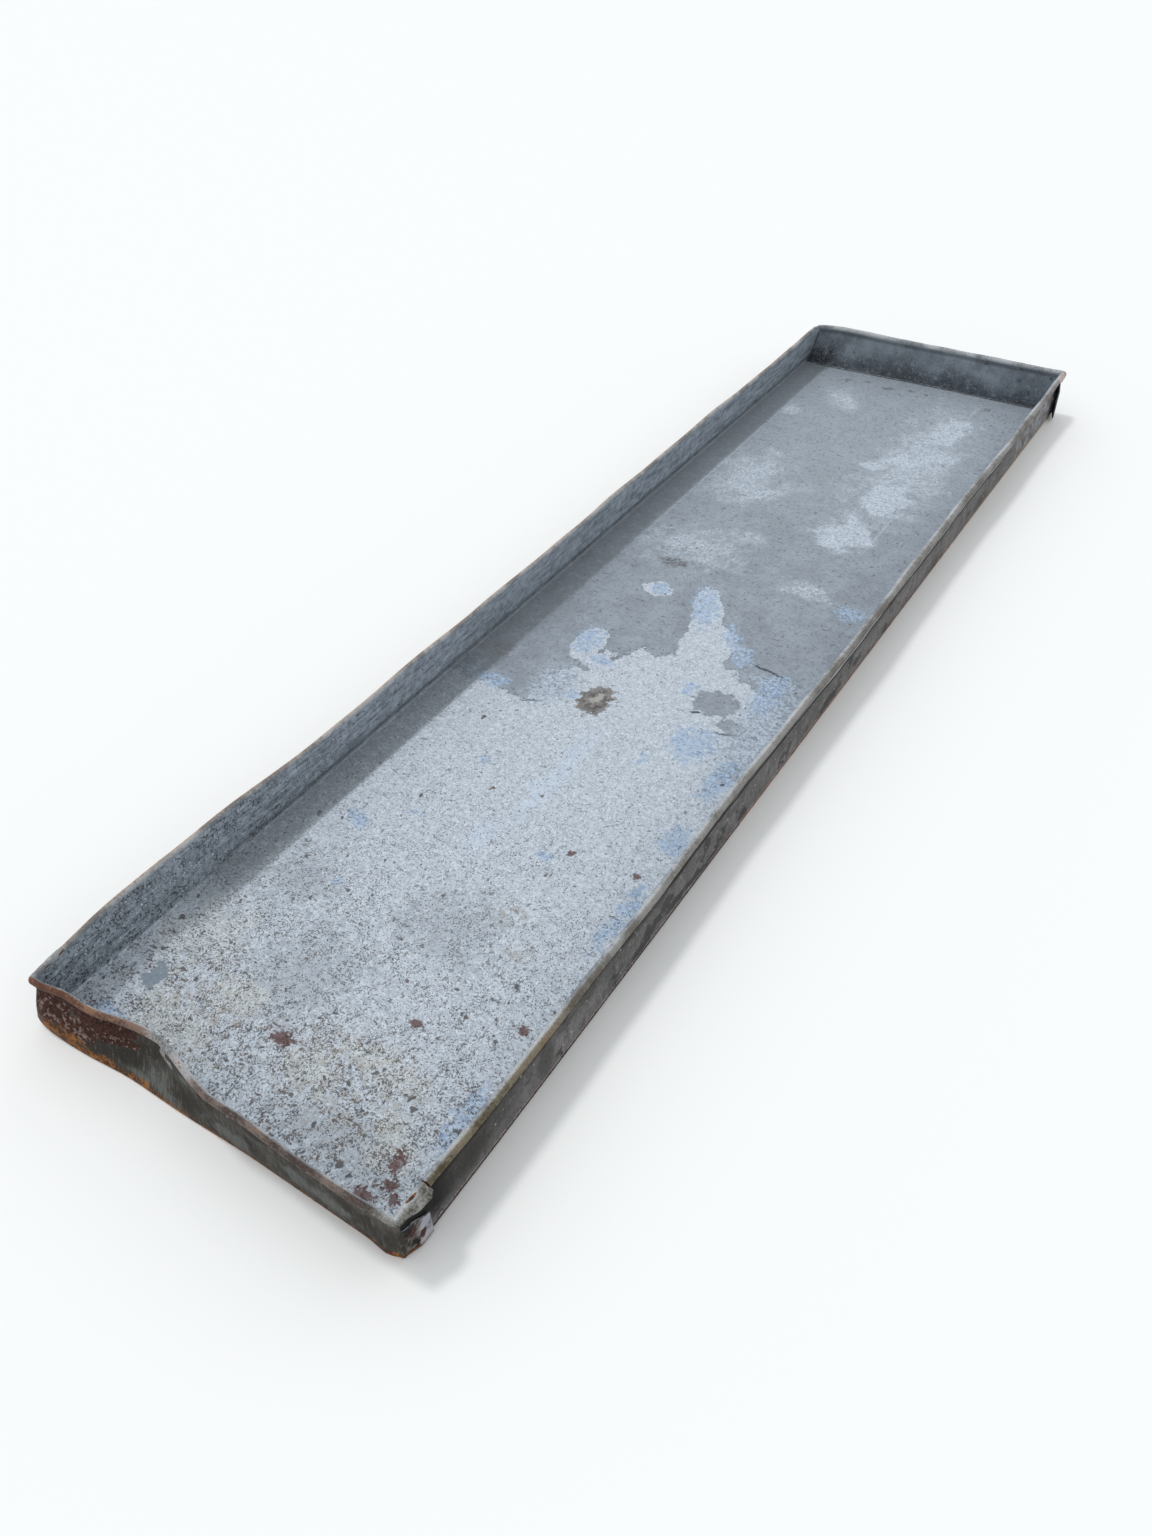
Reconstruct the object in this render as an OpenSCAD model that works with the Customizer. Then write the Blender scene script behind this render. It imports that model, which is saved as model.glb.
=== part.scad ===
// Oil drain pan: a long, shallow, open tray made from galvanised sheet.
// The trough sheet is the floor and both long walls. An end plate closes each end: it has a
// flange under the floor, a tab round each corner, and a rim that turns both corners.
// All rims are rolled outwards over wire. The near wall has a dent.
// Millimetres. +X is across the tray, +Y runs along it to the far end, +Z is up.
// The origin is the centre of the plane that the tray rests on.

/* [Tray] */
// Clear width between the long walls
inner_w = 305; // [285:5:400]
// Clear length between the end walls
inner_l = 1219; // [700:1:1500]
// Height from the resting plane to the top of the rim
tray_h = 51; // [42:1:80]

/* [Sheet] */
// Thickness of the sheet
sheet_t = 0.9; // [0.7:0.1:1.1]
// Inner radius of the bend between the floor and a long wall
floor_bend_r = 2; // [2:0.5:4]
// Length of the end plate's flange under the floor
flange_l = 18; // [10:1:30]

/* [Rim] */
// Outside diameter of the rolled rim
rim_d = 6.5; // [6:0.5:8]
// Length of the end rim's tongue along each long wall
tongue_l = 25; // [15:1:40]

/* [Corner tabs] */
// Length of each tab along its long wall
tab_l = 25; // [20:1:40]
// Angle that the near right tab has sprung open
near_right_spring = 10; // [0:1:20]
// Angle that the far right tab has sprung open
far_right_spring = 14; // [0:1:20]
// Diameter of the rivet shanks
rivet_d = 3.3; // [2.5:0.1:4]

/* [Dent in the near wall] */
// How far the rim is pushed in at the middle of the dent
dent_depth = 15; // [1:1:20]
// Where the middle of the dent is, across the tray
dent_x = -58; // [-60:1:40]
// Length of the dent's left flank
dent_left = 76; // [50:1:80]
// Length of the dent's right flank
dent_right = 70; // [50:1:80]

/* [Solder] */
// Leg of the solder fillet inside each end
solder_leg = 1.8; // [1:0.1:1.9]

/* [Hidden] */
$fn = 48;
eps = 0.01;
// Clearance between neighbouring pieces
fit_gap = 0.05;
// Inner radius of the sharp bends of the end plates
end_bend_r = 0.5;

// Rolled rim: outer radius, height of its axis, and the opening that clears the wall
roll_r = rim_d / 2;
rim_z = tray_h - roll_r;
wire_r = roll_r - sheet_t - fit_gap;
roll_open = acos((roll_r - sheet_t - fit_gap) / roll_r);

// Trough: underside of its floor, top of its floor bend, length of the sheet
floor_z = sheet_t + fit_gap;
floor_top = floor_z + sheet_t;
wall_z = floor_top + floor_bend_r;
trough_l = inner_l - 2 * end_bend_r;

// Corner: axis of the upright bend and axis of the rim's elbow
elbow_r = roll_r + 0.25;
elbow_x = inner_w / 2 + roll_r - elbow_r;
elbow_y = inner_l / 2 + roll_r - elbow_r;
corner_x = inner_w / 2 + sheet_t + fit_gap - end_bend_r;
corner_y = inner_l / 2 - end_bend_r;
corner_z = 1.5;
corner_top = tray_h - 2 * roll_r + 0.6;

// Long rim between the tongues of the end rims
long_rim_l = 2 * (elbow_y - tongue_l - 0.3);

// Corner tab: lower and upper edge, chamfer, and the rivet's place on it
tab_z = 2.5;
tab_top = tray_h - 2 * roll_r - 0.6;
tab_cut = 7;
rivet_y = tab_l / 2;
rivet_z = (tab_z + tab_top) / 2;
rivet_hole_r = rivet_d / 2 + fit_gap;
head_r = rivet_d;
head_h = 1.2;

flange_w = inner_w - 2 * (floor_bend_r + sheet_t);
flange_z = sheet_t + end_bend_r;

// Dent: where it starts and ends, the lowest bent line and the stations across it
dent_start = dent_x - dent_left;
dent_end = dent_x + dent_right;
dent_z = flange_z;
dent_steps = 28;
wall_steps = 6;
roll_steps = 15;
wire_sides = 12;

galvanised = [0.52, 0.55, 0.57];
rusty_galvanised = [0.42, 0.40, 0.38];
steel_wire = [0.45, 0.36, 0.30];
rivet_zinc = [0.60, 0.61, 0.62];
solder_grey = [0.38, 0.40, 0.42];

// ---------- dent ----------

// Half a cosine wave, 1 in the middle of the dent and 0 at the end of each flank
function dent_flank(x) = abs(x - dent_x) / (x < dent_x ? dent_left : dent_right);
function dent_across(x) = dent_flank(x) >= 1 ? 0 : (1 + cos(180 * dent_flank(x))) / 2;

// Share of the wall's height, from the lowest bent line to the rim's axis
function dent_up(z) = min(1, max(0, (z - dent_z) / (rim_z - dent_z)));
function dent_in(x, z) = dent_depth * dent_across(x) * sin(90 * dent_up(z));
function dent_down(x, z) = pow(dent_depth * dent_across(x) * dent_up(z), 2) / (2 * tray_h);

// A point of the near wall, given by its place across, its distance out from the inner face
// and its height, moved by the dent
function dented(x, out, z) =
  [x, -inner_l / 2 - out + dent_in(x, z), z - dent_down(x, z)];

function dent_station(i) = dent_start + (dent_end - dent_start) * i / dent_steps;

// Outlines of the near rim, as [distance out, height]. They have straight sides, so that the
// dented stretch and the straight stretches beside it meet exactly.
function roll_arc(r, a0, a1) =
  [for (i = [0:roll_steps])
    let (a = a0 + (a1 - a0) * i / roll_steps) [roll_r + r * cos(a), rim_z + r * sin(a)]];
function roll_outline() = concat(
  roll_arc(roll_r, 180, roll_open - 180),
  roll_arc(roll_r - sheet_t, roll_open - 180, 180)
);
function wall_height(i) = dent_z + (rim_z - dent_z) * i / wall_steps;
function rolled_wall_outline() = concat(
  [for (i = [0:wall_steps - 1]) [0, wall_height(i)]],
  roll_outline(),
  [for (i = [wall_steps - 1:-1:0]) [sheet_t, wall_height(i)]]
);
function wire_outline() =
  [for (i = [0:wire_sides - 1])
    let (a = -360 * i / wire_sides) [roll_r + wire_r * cos(a), rim_z + wire_r * sin(a)]];

// One closed solid through the same outline at every station of the dent. Each end is closed by
// a strip of triangles between the first half of the outline and the second half.
module dent_skin(outline) {
  n = len(outline);
  points = [for (i = [0:dent_steps], p = outline) dented(dent_station(i), p[0], p[1])];
  sides = [for (i = [0:dent_steps - 1], j = [0:n - 1])
    let (a = i * n + j, b = i * n + (j + 1) % n)
    each [[a, a + n, b + n], [a, b + n, b]]];
  start_cap = [for (k = [0:n / 2 - 2])
    each [[k, k + 1, n - 2 - k], [k, n - 2 - k, n - 1 - k]]];
  last = dent_steps * n;
  end_cap = [for (t = start_cap) [last + t[2], last + t[1], last + t[0]]];
  polyhedron(points, concat(sides, start_cap, end_cap));
}

// ---------- shared sections, drawn as [distance out, height] ----------

// Quarter bend of the sheet, round the origin, from straight down to straight out
module bend_2d(r) {
  intersection() {
    difference() {
      circle(r + sheet_t);
      circle(r);
    }
    translate([0, -r - sheet_t]) square(r + sheet_t);
  }
}

// Rolled rim on top of a wall whose inner face is at 0
module roll_2d() {
  far = 3 * roll_r;
  translate([roll_r, rim_z]) difference() {
    circle(roll_r);
    circle(roll_r - sheet_t);
    polygon([[0, 0], [-far, 0], [-far * cos(roll_open), -far * sin(roll_open)]]);
  }
}

module along_x(length) {
  rotate([90, 0, -90]) linear_extrude(length, center = true) children();
}

module along_y(length) {
  rotate([90, 0, 0]) linear_extrude(length, center = true) children();
}

// A copy on the left as well as on the right
module both_sides() {
  children();
  mirror([1, 0, 0]) children();
}

// ---------- trough sheet ----------

module trough_half_2d(top_z) {
  translate([-eps, floor_z]) square([inner_w / 2 - floor_bend_r + eps, sheet_t]);
  translate([inner_w / 2 - floor_bend_r, wall_z]) bend_2d(floor_bend_r);
  translate([inner_w / 2, wall_z]) square([sheet_t, top_z - wall_z]);
}

module corner_holes() {
  for (side = [-1, 1], end = [-1, 1])
    translate([side * (inner_w / 2 + sheet_t / 2), end * (corner_y - rivet_y), rivet_z])
      rotate([0, 90, 0]) cylinder(r = rivet_hole_r, h = 4 * sheet_t, center = true);
}

module trough_sheet() {
  color(galvanised) difference() {
    union() {
      both_sides() along_y(trough_l) trough_half_2d(rim_z - 2 * fit_gap);
      both_sides() along_y(long_rim_l) {
        translate([inner_w / 2, wall_z]) square([sheet_t, rim_z - wall_z]);
        translate([inner_w / 2, 0]) roll_2d();
      }
    }
    corner_holes();
  }
}

// ---------- end plates, drawn at the near end ----------

// Stretch of the end wall between two places across the tray
module end_stretch(x0, x1) {
  translate([(x0 + x1) / 2, -inner_l / 2, 0]) along_x(x1 - x0) children();
}

module end_wall_2d(z0, z1) {
  translate([0, z0]) square([sheet_t, z1 - z0]);
}

module flange_2d() {
  translate([-flange_l, 0]) square([flange_l - end_bend_r, sheet_t]);
  translate([-end_bend_r, flange_z]) bend_2d(end_bend_r);
}

// A rim section carried round the right corner and on as a tongue along the long wall
module rim_elbow() {
  translate([elbow_x, -elbow_y, 0])
    rotate([0, 0, -90]) rotate_extrude(angle = 90)
      translate([elbow_r - roll_r, 0]) children();
  translate([inner_w / 2, -elbow_y + tongue_l / 2, 0]) along_y(tongue_l) children();
}

// Upright bend at the right corner and the tab that it carries
module corner_tab(spring) {
  translate([corner_x, -corner_y, 0]) {
    rotate([0, 0, -90]) rotate_extrude(angle = 90 - spring)
      translate([end_bend_r, corner_z]) square([sheet_t, corner_top - corner_z]);
    rotate([0, 0, -spring]) difference() {
      translate([end_bend_r, 0, 0]) rotate([90, 0, 90]) linear_extrude(sheet_t)
        polygon([
          [-eps, tab_z], [tab_l - tab_cut, tab_z], [tab_l, tab_z + tab_cut],
          [tab_l, tab_top - tab_cut], [tab_l - tab_cut, tab_top], [-eps, tab_top]
        ]);
      translate([0, rivet_y, rivet_z]) rotate([0, 90, 0])
        cylinder(r = rivet_hole_r, h = 4 * sheet_t);
    }
  }
}

// Flange, both tabs and the strips of wall beside the elbows
module end_base(right_spring) {
  end_stretch(-flange_w / 2, flange_w / 2) flange_2d();
  both_sides() end_stretch(elbow_x - eps, corner_x) end_wall_2d(corner_z, corner_top);
  corner_tab(right_spring);
  mirror([1, 0, 0]) corner_tab(0);
}

module near_end_plate() {
  color(rusty_galvanised) {
    end_stretch(-elbow_x, dent_start) polygon(rolled_wall_outline());
    dent_skin(rolled_wall_outline());
    end_stretch(dent_end, elbow_x) polygon(rolled_wall_outline());
    both_sides() rim_elbow() polygon(roll_outline());
    end_base(near_right_spring);
  }
}

module far_end_plate() {
  color(galvanised) mirror([0, 1, 0]) {
    end_stretch(-elbow_x, elbow_x) {
      end_wall_2d(flange_z, rim_z);
      roll_2d();
    }
    both_sides() rim_elbow() roll_2d();
    end_base(far_right_spring);
  }
}

// ---------- rim wires ----------

module wire_2d() {
  translate([roll_r, rim_z]) circle(wire_r);
}

module long_wire() {
  translate([inner_w / 2, 0, 0]) along_y(long_rim_l) wire_2d();
}

module right_rim_wire() {
  color(steel_wire) long_wire();
}

module left_rim_wire() {
  color(steel_wire) mirror([1, 0, 0]) long_wire();
}

module near_rim_wire() {
  color(steel_wire) {
    end_stretch(-elbow_x, dent_start) polygon(wire_outline());
    dent_skin(wire_outline());
    end_stretch(dent_end, elbow_x) polygon(wire_outline());
    both_sides() rim_elbow() polygon(wire_outline());
  }
}

module far_rim_wire() {
  color(steel_wire) mirror([0, 1, 0]) {
    end_stretch(-elbow_x, elbow_x) wire_2d();
    both_sides() rim_elbow() wire_2d();
  }
}

// ---------- rivets ----------

// Rivet through the left wall and its tab, flat head inside and domed head outside
module rivet() {
  grip = 2 * sheet_t + 3 * fit_gap;
  rotate([0, -90, 0]) {
    translate([0, 0, -head_h / 2]) cylinder(r = head_r, h = head_h / 2);
    cylinder(r = rivet_d / 2, h = grip);
    translate([0, 0, grip]) intersection() {
      translate([0, 0, head_h - head_r * 1.5]) sphere(head_r * 1.5);
      cylinder(r = head_r * 1.5, h = head_h);
    }
  }
}

module corner_rivets() {
  color(rivet_zinc) for (end = [-1, 1])
    translate([-inner_w / 2 + fit_gap, end * (corner_y - rivet_y), rivet_z]) rivet();
}

// ---------- solder, drawn at the near end ----------

// Hollow fillet between a surface below and the end wall, as [distance in, height]
module fillet_2d() {
  difference() {
    square(solder_leg);
    translate([solder_leg, solder_leg]) circle(solder_leg - 0.35);
  }
}

// Seam along the floor, up both floor bends and up both long walls
module end_seam() {
  bend_x = inner_w / 2 - floor_bend_r;
  translate([0, -inner_l / 2 + fit_gap, 0]) {
    translate([0, 0, floor_top + fit_gap])
      mirror([0, 1, 0]) along_x(2 * bend_x) fillet_2d();
    both_sides() {
      translate([bend_x, 0, wall_z]) rotate([-90, 0, 0]) rotate_extrude(angle = 90)
        translate([floor_bend_r - fit_gap, 0]) mirror([1, 0]) fillet_2d();
      translate([inner_w / 2 - fit_gap, 0, wall_z])
        linear_extrude(tab_top - wall_z) mirror([1, 0]) fillet_2d();
    }
  }
}

module near_end_solder() {
  color(solder_grey) end_seam();
}

module far_end_solder() {
  color(solder_grey) mirror([0, 1, 0]) end_seam();
}

trough_sheet();
near_end_plate();
far_end_plate();
left_rim_wire();
right_rim_wire();
near_rim_wire();
far_rim_wire();
corner_rivets();
near_end_solder();
far_end_solder();
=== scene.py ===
"""Oil drain pan: a long galvanised tray with a dented near end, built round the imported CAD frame.

+X runs across the tray, +Y along it to the far end and +Z up. Blender units are metres. Sheets are
built flat and true on the CAD's sizes, then worn() bends them all by one smooth field, so that
neighbouring pieces still meet.
"""
import math

import bpy
import numpy as np
from mathutils import Euler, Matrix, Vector, noise


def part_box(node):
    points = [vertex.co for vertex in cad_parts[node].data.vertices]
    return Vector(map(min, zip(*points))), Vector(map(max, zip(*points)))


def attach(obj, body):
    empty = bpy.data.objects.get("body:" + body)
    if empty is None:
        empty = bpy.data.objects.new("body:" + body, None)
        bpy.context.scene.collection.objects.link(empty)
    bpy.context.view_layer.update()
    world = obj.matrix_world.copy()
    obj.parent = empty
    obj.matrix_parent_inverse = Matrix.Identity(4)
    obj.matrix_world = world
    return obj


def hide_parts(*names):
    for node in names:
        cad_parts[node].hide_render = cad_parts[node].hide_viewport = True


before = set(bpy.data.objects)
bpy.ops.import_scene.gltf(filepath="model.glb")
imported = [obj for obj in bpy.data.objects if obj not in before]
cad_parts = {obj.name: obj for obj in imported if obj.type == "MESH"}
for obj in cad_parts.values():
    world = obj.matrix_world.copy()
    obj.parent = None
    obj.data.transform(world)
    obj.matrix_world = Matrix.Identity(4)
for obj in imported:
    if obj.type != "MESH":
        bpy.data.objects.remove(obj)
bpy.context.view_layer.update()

MM = 0.001

# Without a seed, noise_vector() starts from the clock and every run gives other lumps
noise.seed_set(1)

SHEET = 0.9 * MM
GAP = 0.05 * MM

# ---------- sizes, read from the CAD nodes ----------

tray_lo, tray_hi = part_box("trough_sheet")
wire_lo, wire_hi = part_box("right_rim_wire")
far_lo, far_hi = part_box("far_end_plate")
rivet_lo, rivet_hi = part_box("corner_rivets")

WIRE_R = (wire_hi.x - wire_lo.x) / 2
RIM_X = (wire_hi.x + wire_lo.x) / 2
RIM_Z = (wire_hi.z + wire_lo.z) / 2
RIM_R = tray_hi.x - RIM_X
HALF_W = RIM_X - RIM_R
HALF_L = far_hi.y - 2 * RIM_R
TRAY_H = tray_hi.z
TROUGH_END = tray_hi.y
LONG_RIM_END = wire_hi.y
FLOOR_MID_Z = tray_lo.z + SHEET / 2
FLOOR_TOP = tray_lo.z + SHEET
FLOOR_BEND_R = 1.2 * MM
FLANGE_L = 18 * MM
END_BEND_R = 0.5 * MM
TAB_L = 24.5 * MM
HOLE_R = 1.7 * MM
RIVET_Z = (rivet_lo.z + rivet_hi.z) / 2
RIVET_Y = (rivet_hi.y - rivet_lo.y) / 2 - (rivet_hi.z - rivet_lo.z) / 2

# The roll is a little open where its raw edge comes back to the wall
ROLL_OPEN = math.acos((RIM_R - SHEET - GAP) / RIM_R)
ROLL_MID_R = RIM_R - SHEET / 2

# How many steps the meshes have round a roll, along the tray and across it
ROLL_STEPS, LONG_STEPS, ACROSS_STEPS = 20, 234, 124


# ---------- wear: one field that bends every piece ----------

def hump(t):
    """1 at 0, falling smoothly to 0 at -1 and 1."""
    return np.where(np.abs(t) < 1, 0.5 + 0.5 * np.cos(np.pi * t), 0.0)


def ease(t):
    """Smooth step from 0 at 0 to 1 at 1."""
    t = np.clip(t, 0, 1)
    return t * t * (3 - 2 * t)


def sided_hump(v, middle, before, after):
    """A hump with its own width on each side of its middle."""
    return hump((v - middle) / np.where(v < middle, before, after))


def near_dent(x, z):
    """How far the near wall is pushed in, and how far it drops, in millimetres."""
    up = np.clip((z - 1.4) / (RIM_Z / MM - 1.4), 0, 1)
    broad = sided_hump(x, -58, 76, 70)
    flank = np.clip(1 - np.abs(x + 50) / np.where(x < -50, 62, 58), 0, 1)
    across = 0.62 * broad + 0.42 * flank
    pushed = 15 * across * np.sin(np.pi / 2 * up)
    corner_lean = 3.4 * sided_hump(x, -126, 24, 34) * up
    dropped = (15 * across * up) ** 2 / 102
    return pushed + corner_lean, dropped


def left_wall(y, z):
    """How far out the left wall stands at each height, in millimetres. Its foot stands out all
    along. Above a crease near the foot it is bent in, except near the dented end."""
    foot = 11.5
    rim = 9.6 * sided_hump(y, -520, 110, 265) + 0.8
    crease_z, crease_share = 14.5, 0.28
    lower = crease_share * ease((z - 6) / (crease_z - 6))
    upper = (1 - crease_share) * np.clip((z - crease_z) / (TRAY_H / MM - crease_z), 0, 1)
    return foot + (rim - foot) * (lower + upper)


def near_foot(x, z):
    """How far out the near wall stands below its rim, in millimetres: most at the left corner,
    where it gets there slowly."""
    quick, slow = ease((46 - z) / 9), ease((48 - z) / 40)
    at_corner = ease((-96 - x) / 40)
    everywhere = (2.2 + 2.0 * ease((40 - x) / 80)) * (quick + (slow - quick) * at_corner)
    return everywhere + 4.8 * sided_hump(x, -138, 40, 70) * slow


def pressed(out, share):
    """Flattens a roll against its wall. out is the distance beyond the wall's outer face."""
    return np.where(out > 1.2, (1.2 - out) * (1 - share), 0.0)


def worn(points):
    """Moves points of the tray as made, in metres, to where years of use have left them."""
    p = np.asarray(points, float).reshape(-1, 3) / MM
    x, y, z = p[:, 0].copy(), p[:, 1].copy(), p[:, 2].copy()
    half_l, half_w, sheet = HALF_L / MM, HALF_W / MM, SHEET / MM

    # three of the four rolls are pressed flatter than they were made
    p[:, 0] -= pressed(-x - half_w - sheet, 0.4)
    p[:, 1] -= pressed(-y - half_l - sheet, 0.6)
    p[:, 1] += pressed(y - half_l - sheet, 0.4)
    up = np.clip(z / (TRAY_H / MM), 0, 1)
    low = np.clip(1 - z / 30, 0, 1) ** 1.5

    # dent in the near wall, fading out inside the tray
    at_near = ease((-y - half_l + 30) / 26)
    pushed, dropped = near_dent(x, z)
    p[:, 1] += pushed * at_near
    p[:, 2] -= dropped * at_near

    at_left = ease((-x - half_w + 50) / 48)
    p[:, 0] -= left_wall(y, z) * at_left

    # below their rims the near and right walls bulge out, and the far wall's foot is pushed in
    under = ease((46 - z) / 9)
    at_right = ease((x - half_w + 30) / 28)
    p[:, 1] -= at_near * (near_foot(x, z) + 1.8 * hump((x - 146) / 22) * low)
    p[:, 0] += at_right * under * (1.2 + 1.4 * ease((300 - y) / 800))
    swollen = sided_hump(y, -half_l, 30, 60) * ease((46 - z) / 24) * (1 - low)
    p[:, 0] -= at_left * 0.8 * swollen

    # the near right corner's foot is rounded off, and the right roll has come loose halfway along
    tip = np.clip(1 - np.hypot(x - half_w, y + half_l) / 13, 0, 1) * ease((16 - z) / 14)
    p[:, 0] -= 4.0 * tip
    p[:, 1] += 3.0 * tip
    loose = ease((y + 150) / 100) * ease((450 - y) / 60)
    hanging = ease((x - half_w - sheet) / 1.5) * np.clip(RIM_Z / MM - z, 0, None)
    p[:, 2] -= 0.8 * loose * hanging * (z > 40)
    at_far = ease((y - half_l + 30) / 26)
    p[:, 1] -= at_far * low * (3.0 + 6.0 * ease((20 - x) / 170))

    # the far left corner of the rim is knocked round
    corner = np.hypot(x + half_w + 3, y - half_l - 3)
    knock = np.clip(1 - corner / 34, 0, 1) ** 1.5 * up ** 2
    p[:, 0] += 5.0 * knock
    p[:, 1] -= 6.5 * knock

    # slow waves in all the walls, and a floor that is no longer flat
    at_side = ease((np.abs(x) - half_w + 30) / 28)
    at_end = ease((np.abs(y) - half_l + 20) / 20)
    p[:, 0] += up * at_side * (0.8 * np.sin(y / 71 + 1.3) + 0.45 * np.sin(y / 29 + 0.4))
    p[:, 1] += up * at_end * 0.9 * np.sin(x / 24 + 0.7)
    p[:, 2] += up * (0.45 * np.sin(y / 43) + 0.3 * np.sin(y / 17 + x / 31))
    inside = ease((half_w - 6 - np.abs(x)) / 60) * ease((half_l - 20 - np.abs(y)) / 60)
    waves = 0.9 * np.sin(x / 52 + y / 140 + 0.8) + 0.7 * np.sin(y / 83 - x / 90)
    p[:, 2] += inside * (1.6 + waves * 0.65)

    # a shallow fold along the floor beside the left wall
    p[:, 2] += 1.3 * np.clip((-126 - x) / 20, 0, 1) * ease((14 - z) / 13)

    # between the end plates' flanges the trough has sagged onto the ground
    p[:, 2] -= 0.85 * ease((half_l - 22 - np.abs(y)) / 70)
    return p * MM


def jitter(points, size, amount, seed=0):
    """Small fractal displacement of each point: size is the lump size and amount the reach."""
    shift = Vector((17.3 * seed, -9.1 * seed, 4.7 * seed))
    out = np.array(points, float)
    flat = out.reshape(-1, 3)
    for i, point in enumerate(flat):
        flat[i] += np.array(noise.noise_vector(Vector(point) / size + shift)) * amount
    return out


# ---------- meshes ----------

def finish_piece(obj, node):
    """Puts a finished piece on the one body, in place of the CAD node it stands for."""
    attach(obj, "root")
    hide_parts(node)


def new_object(name, vertices, faces, materials):
    mesh = bpy.data.meshes.new(name)
    mesh.from_pydata([tuple(v) for v in vertices], [], faces)
    mesh.validate()
    obj = bpy.data.objects.new(name, mesh)
    bpy.context.scene.collection.objects.link(obj)
    for material in materials:
        mesh.materials.append(material)
    return obj


def smooth_shade(obj, angle=40):
    obj.data.shade_smooth()
    obj.data.set_sharp_from_angle(angle=math.radians(angle))


def bake_modifiers(obj):
    """Turns the piece's modifiers into plain mesh."""
    graph = bpy.context.evaluated_depsgraph_get()
    mesh = bpy.data.meshes.new_from_object(obj.evaluated_get(graph), depsgraph=graph)
    obj.modifiers.clear()
    obj.data = mesh


def store_made(obj, made):
    """Keeps each vertex's place before wear, in millimetres, for the materials."""
    attribute = obj.data.attributes.new("made", "FLOAT_VECTOR", "POINT")
    attribute.data.foreach_set("vector", (np.asarray(made, float) / MM).ravel())


def sheet(name, made, grid, keep, inside, outside):
    """A sheet of even thickness round a grid of middle points. keep says which cells exist.
    The side that faces the tray's inside has one material and the other side the other."""
    rows, columns = grid.shape[:2]
    used = np.full(rows * columns, -1)
    faces = []
    for r, c in zip(*np.nonzero(keep)):
        a = r * columns + c
        faces.append((a, a + columns, a + columns + 1, a + 1))
    ids = np.unique(np.array(faces))
    used[ids] = np.arange(len(ids))
    faces = [tuple(int(used[i]) for i in face) for face in faces]
    obj = new_object(name, grid.reshape(-1, 3)[ids], faces, [inside, outside])
    store_made(obj, made.reshape(-1, 3)[ids])
    solid = obj.modifiers.new("thickness", "SOLIDIFY")
    solid.thickness = SHEET
    solid.offset = 0
    solid.material_offset = 1
    bake_modifiers(obj)
    smooth_shade(obj)
    return obj


def bar(name, path, radius, material, sides=16, lumps=0.0):
    """A closed round bar along a path. radius is one number, or one for each point."""
    path = np.asarray(path, float)
    radius = np.broadcast_to(radius, len(path))
    along = np.gradient(path, axis=0)
    along /= np.linalg.norm(along, axis=1)[:, None]
    side = np.cross(along, (0, 0, 1))
    steep = np.linalg.norm(side, axis=1) < 0.2
    side[steep] = np.cross(along[steep], (0, 1, 0))
    side /= np.linalg.norm(side, axis=1)[:, None]
    over = np.cross(side, along)
    angles = np.arange(sides) * 2 * np.pi / sides
    ring = np.cos(angles)[None, :, None] * side[:, None] + np.sin(angles)[None, :, None] * over[:, None]
    points = path[:, None] + ring * radius[:, None, None]
    last = (len(path) - 1) * sides
    faces = [(first + j, first + (j + 1) % sides, first + sides + (j + 1) % sides, first + sides + j)
             for first in range(0, last, sides) for j in range(sides)]
    faces.append(tuple(range(sides - 1, -1, -1)))
    faces.append(tuple(range(last, last + sides)))
    made = points.reshape(-1, 3)
    rough = jitter(made, 0.004, lumps, 8) if lumps else made
    obj = new_object(name, worn(rough), faces, [material])
    store_made(obj, made)
    smooth_shade(obj, 60)
    return obj


def arc(centre, radius, start, end, steps):
    """Points on an arc in a plane, from start to end in radians, as two columns."""
    a = np.linspace(start, end, steps + 1)
    return np.stack([centre[0] + radius * np.cos(a), centre[1] + radius * np.sin(a)], 1)


def line(a, b, steps):
    return np.linspace(a, b, steps + 1)


def chain(*parts):
    """Joins stretches of outline whose ends meet."""
    return np.concatenate([parts[0]] + [part[1:] for part in parts[1:]])


def punch(grid, keep, near, radius):
    """Opens a round hole in a grid at the vertex nearest to a point."""
    r, c = np.unravel_index(np.argmin(np.linalg.norm(grid - near, axis=2)), grid.shape[:2])
    centre = grid[r, c].copy()
    keep[r - 1:r + 1, c - 1:c + 1] = False
    for i in (-1, 0, 1):
        for j in (-1, 0, 1):
            if i or j:
                way = grid[r + i, c + j] - centre
                grid[r + i, c + j] = centre + way / np.linalg.norm(way) * radius
    return centre


# ---------- shader building ----------

# Light that reaches the floor, the inner walls and the outer walls, for the seen() colours
ON_FLOOR, ON_INNER, ON_OUTER = 1.15, 0.58, 0.78


def seen(r, g, b, light=ON_FLOOR):
    """Colour of a surface that looks like this sRGB colour in a given light."""
    linear = [((c / 255 + 0.055) / 1.055) ** 2.4 for c in (r, g, b)]
    return (*(min(0.95, c / light) for c in linear), 1.0)


class Wire:
    """One output of a shader node, on which ordinary arithmetic works."""

    def __init__(self, shader, socket):
        self.shader, self.socket = shader, socket

    def __add__(self, other):
        return self.shader.math("ADD", self, other)

    def __sub__(self, other):
        return self.shader.math("SUBTRACT", self, other)

    def __rsub__(self, other):
        return self.shader.math("SUBTRACT", other, self)

    def __mul__(self, other):
        return self.shader.math("MULTIPLY", self, other)

    __radd__, __rmul__ = __add__, __mul__


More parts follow.
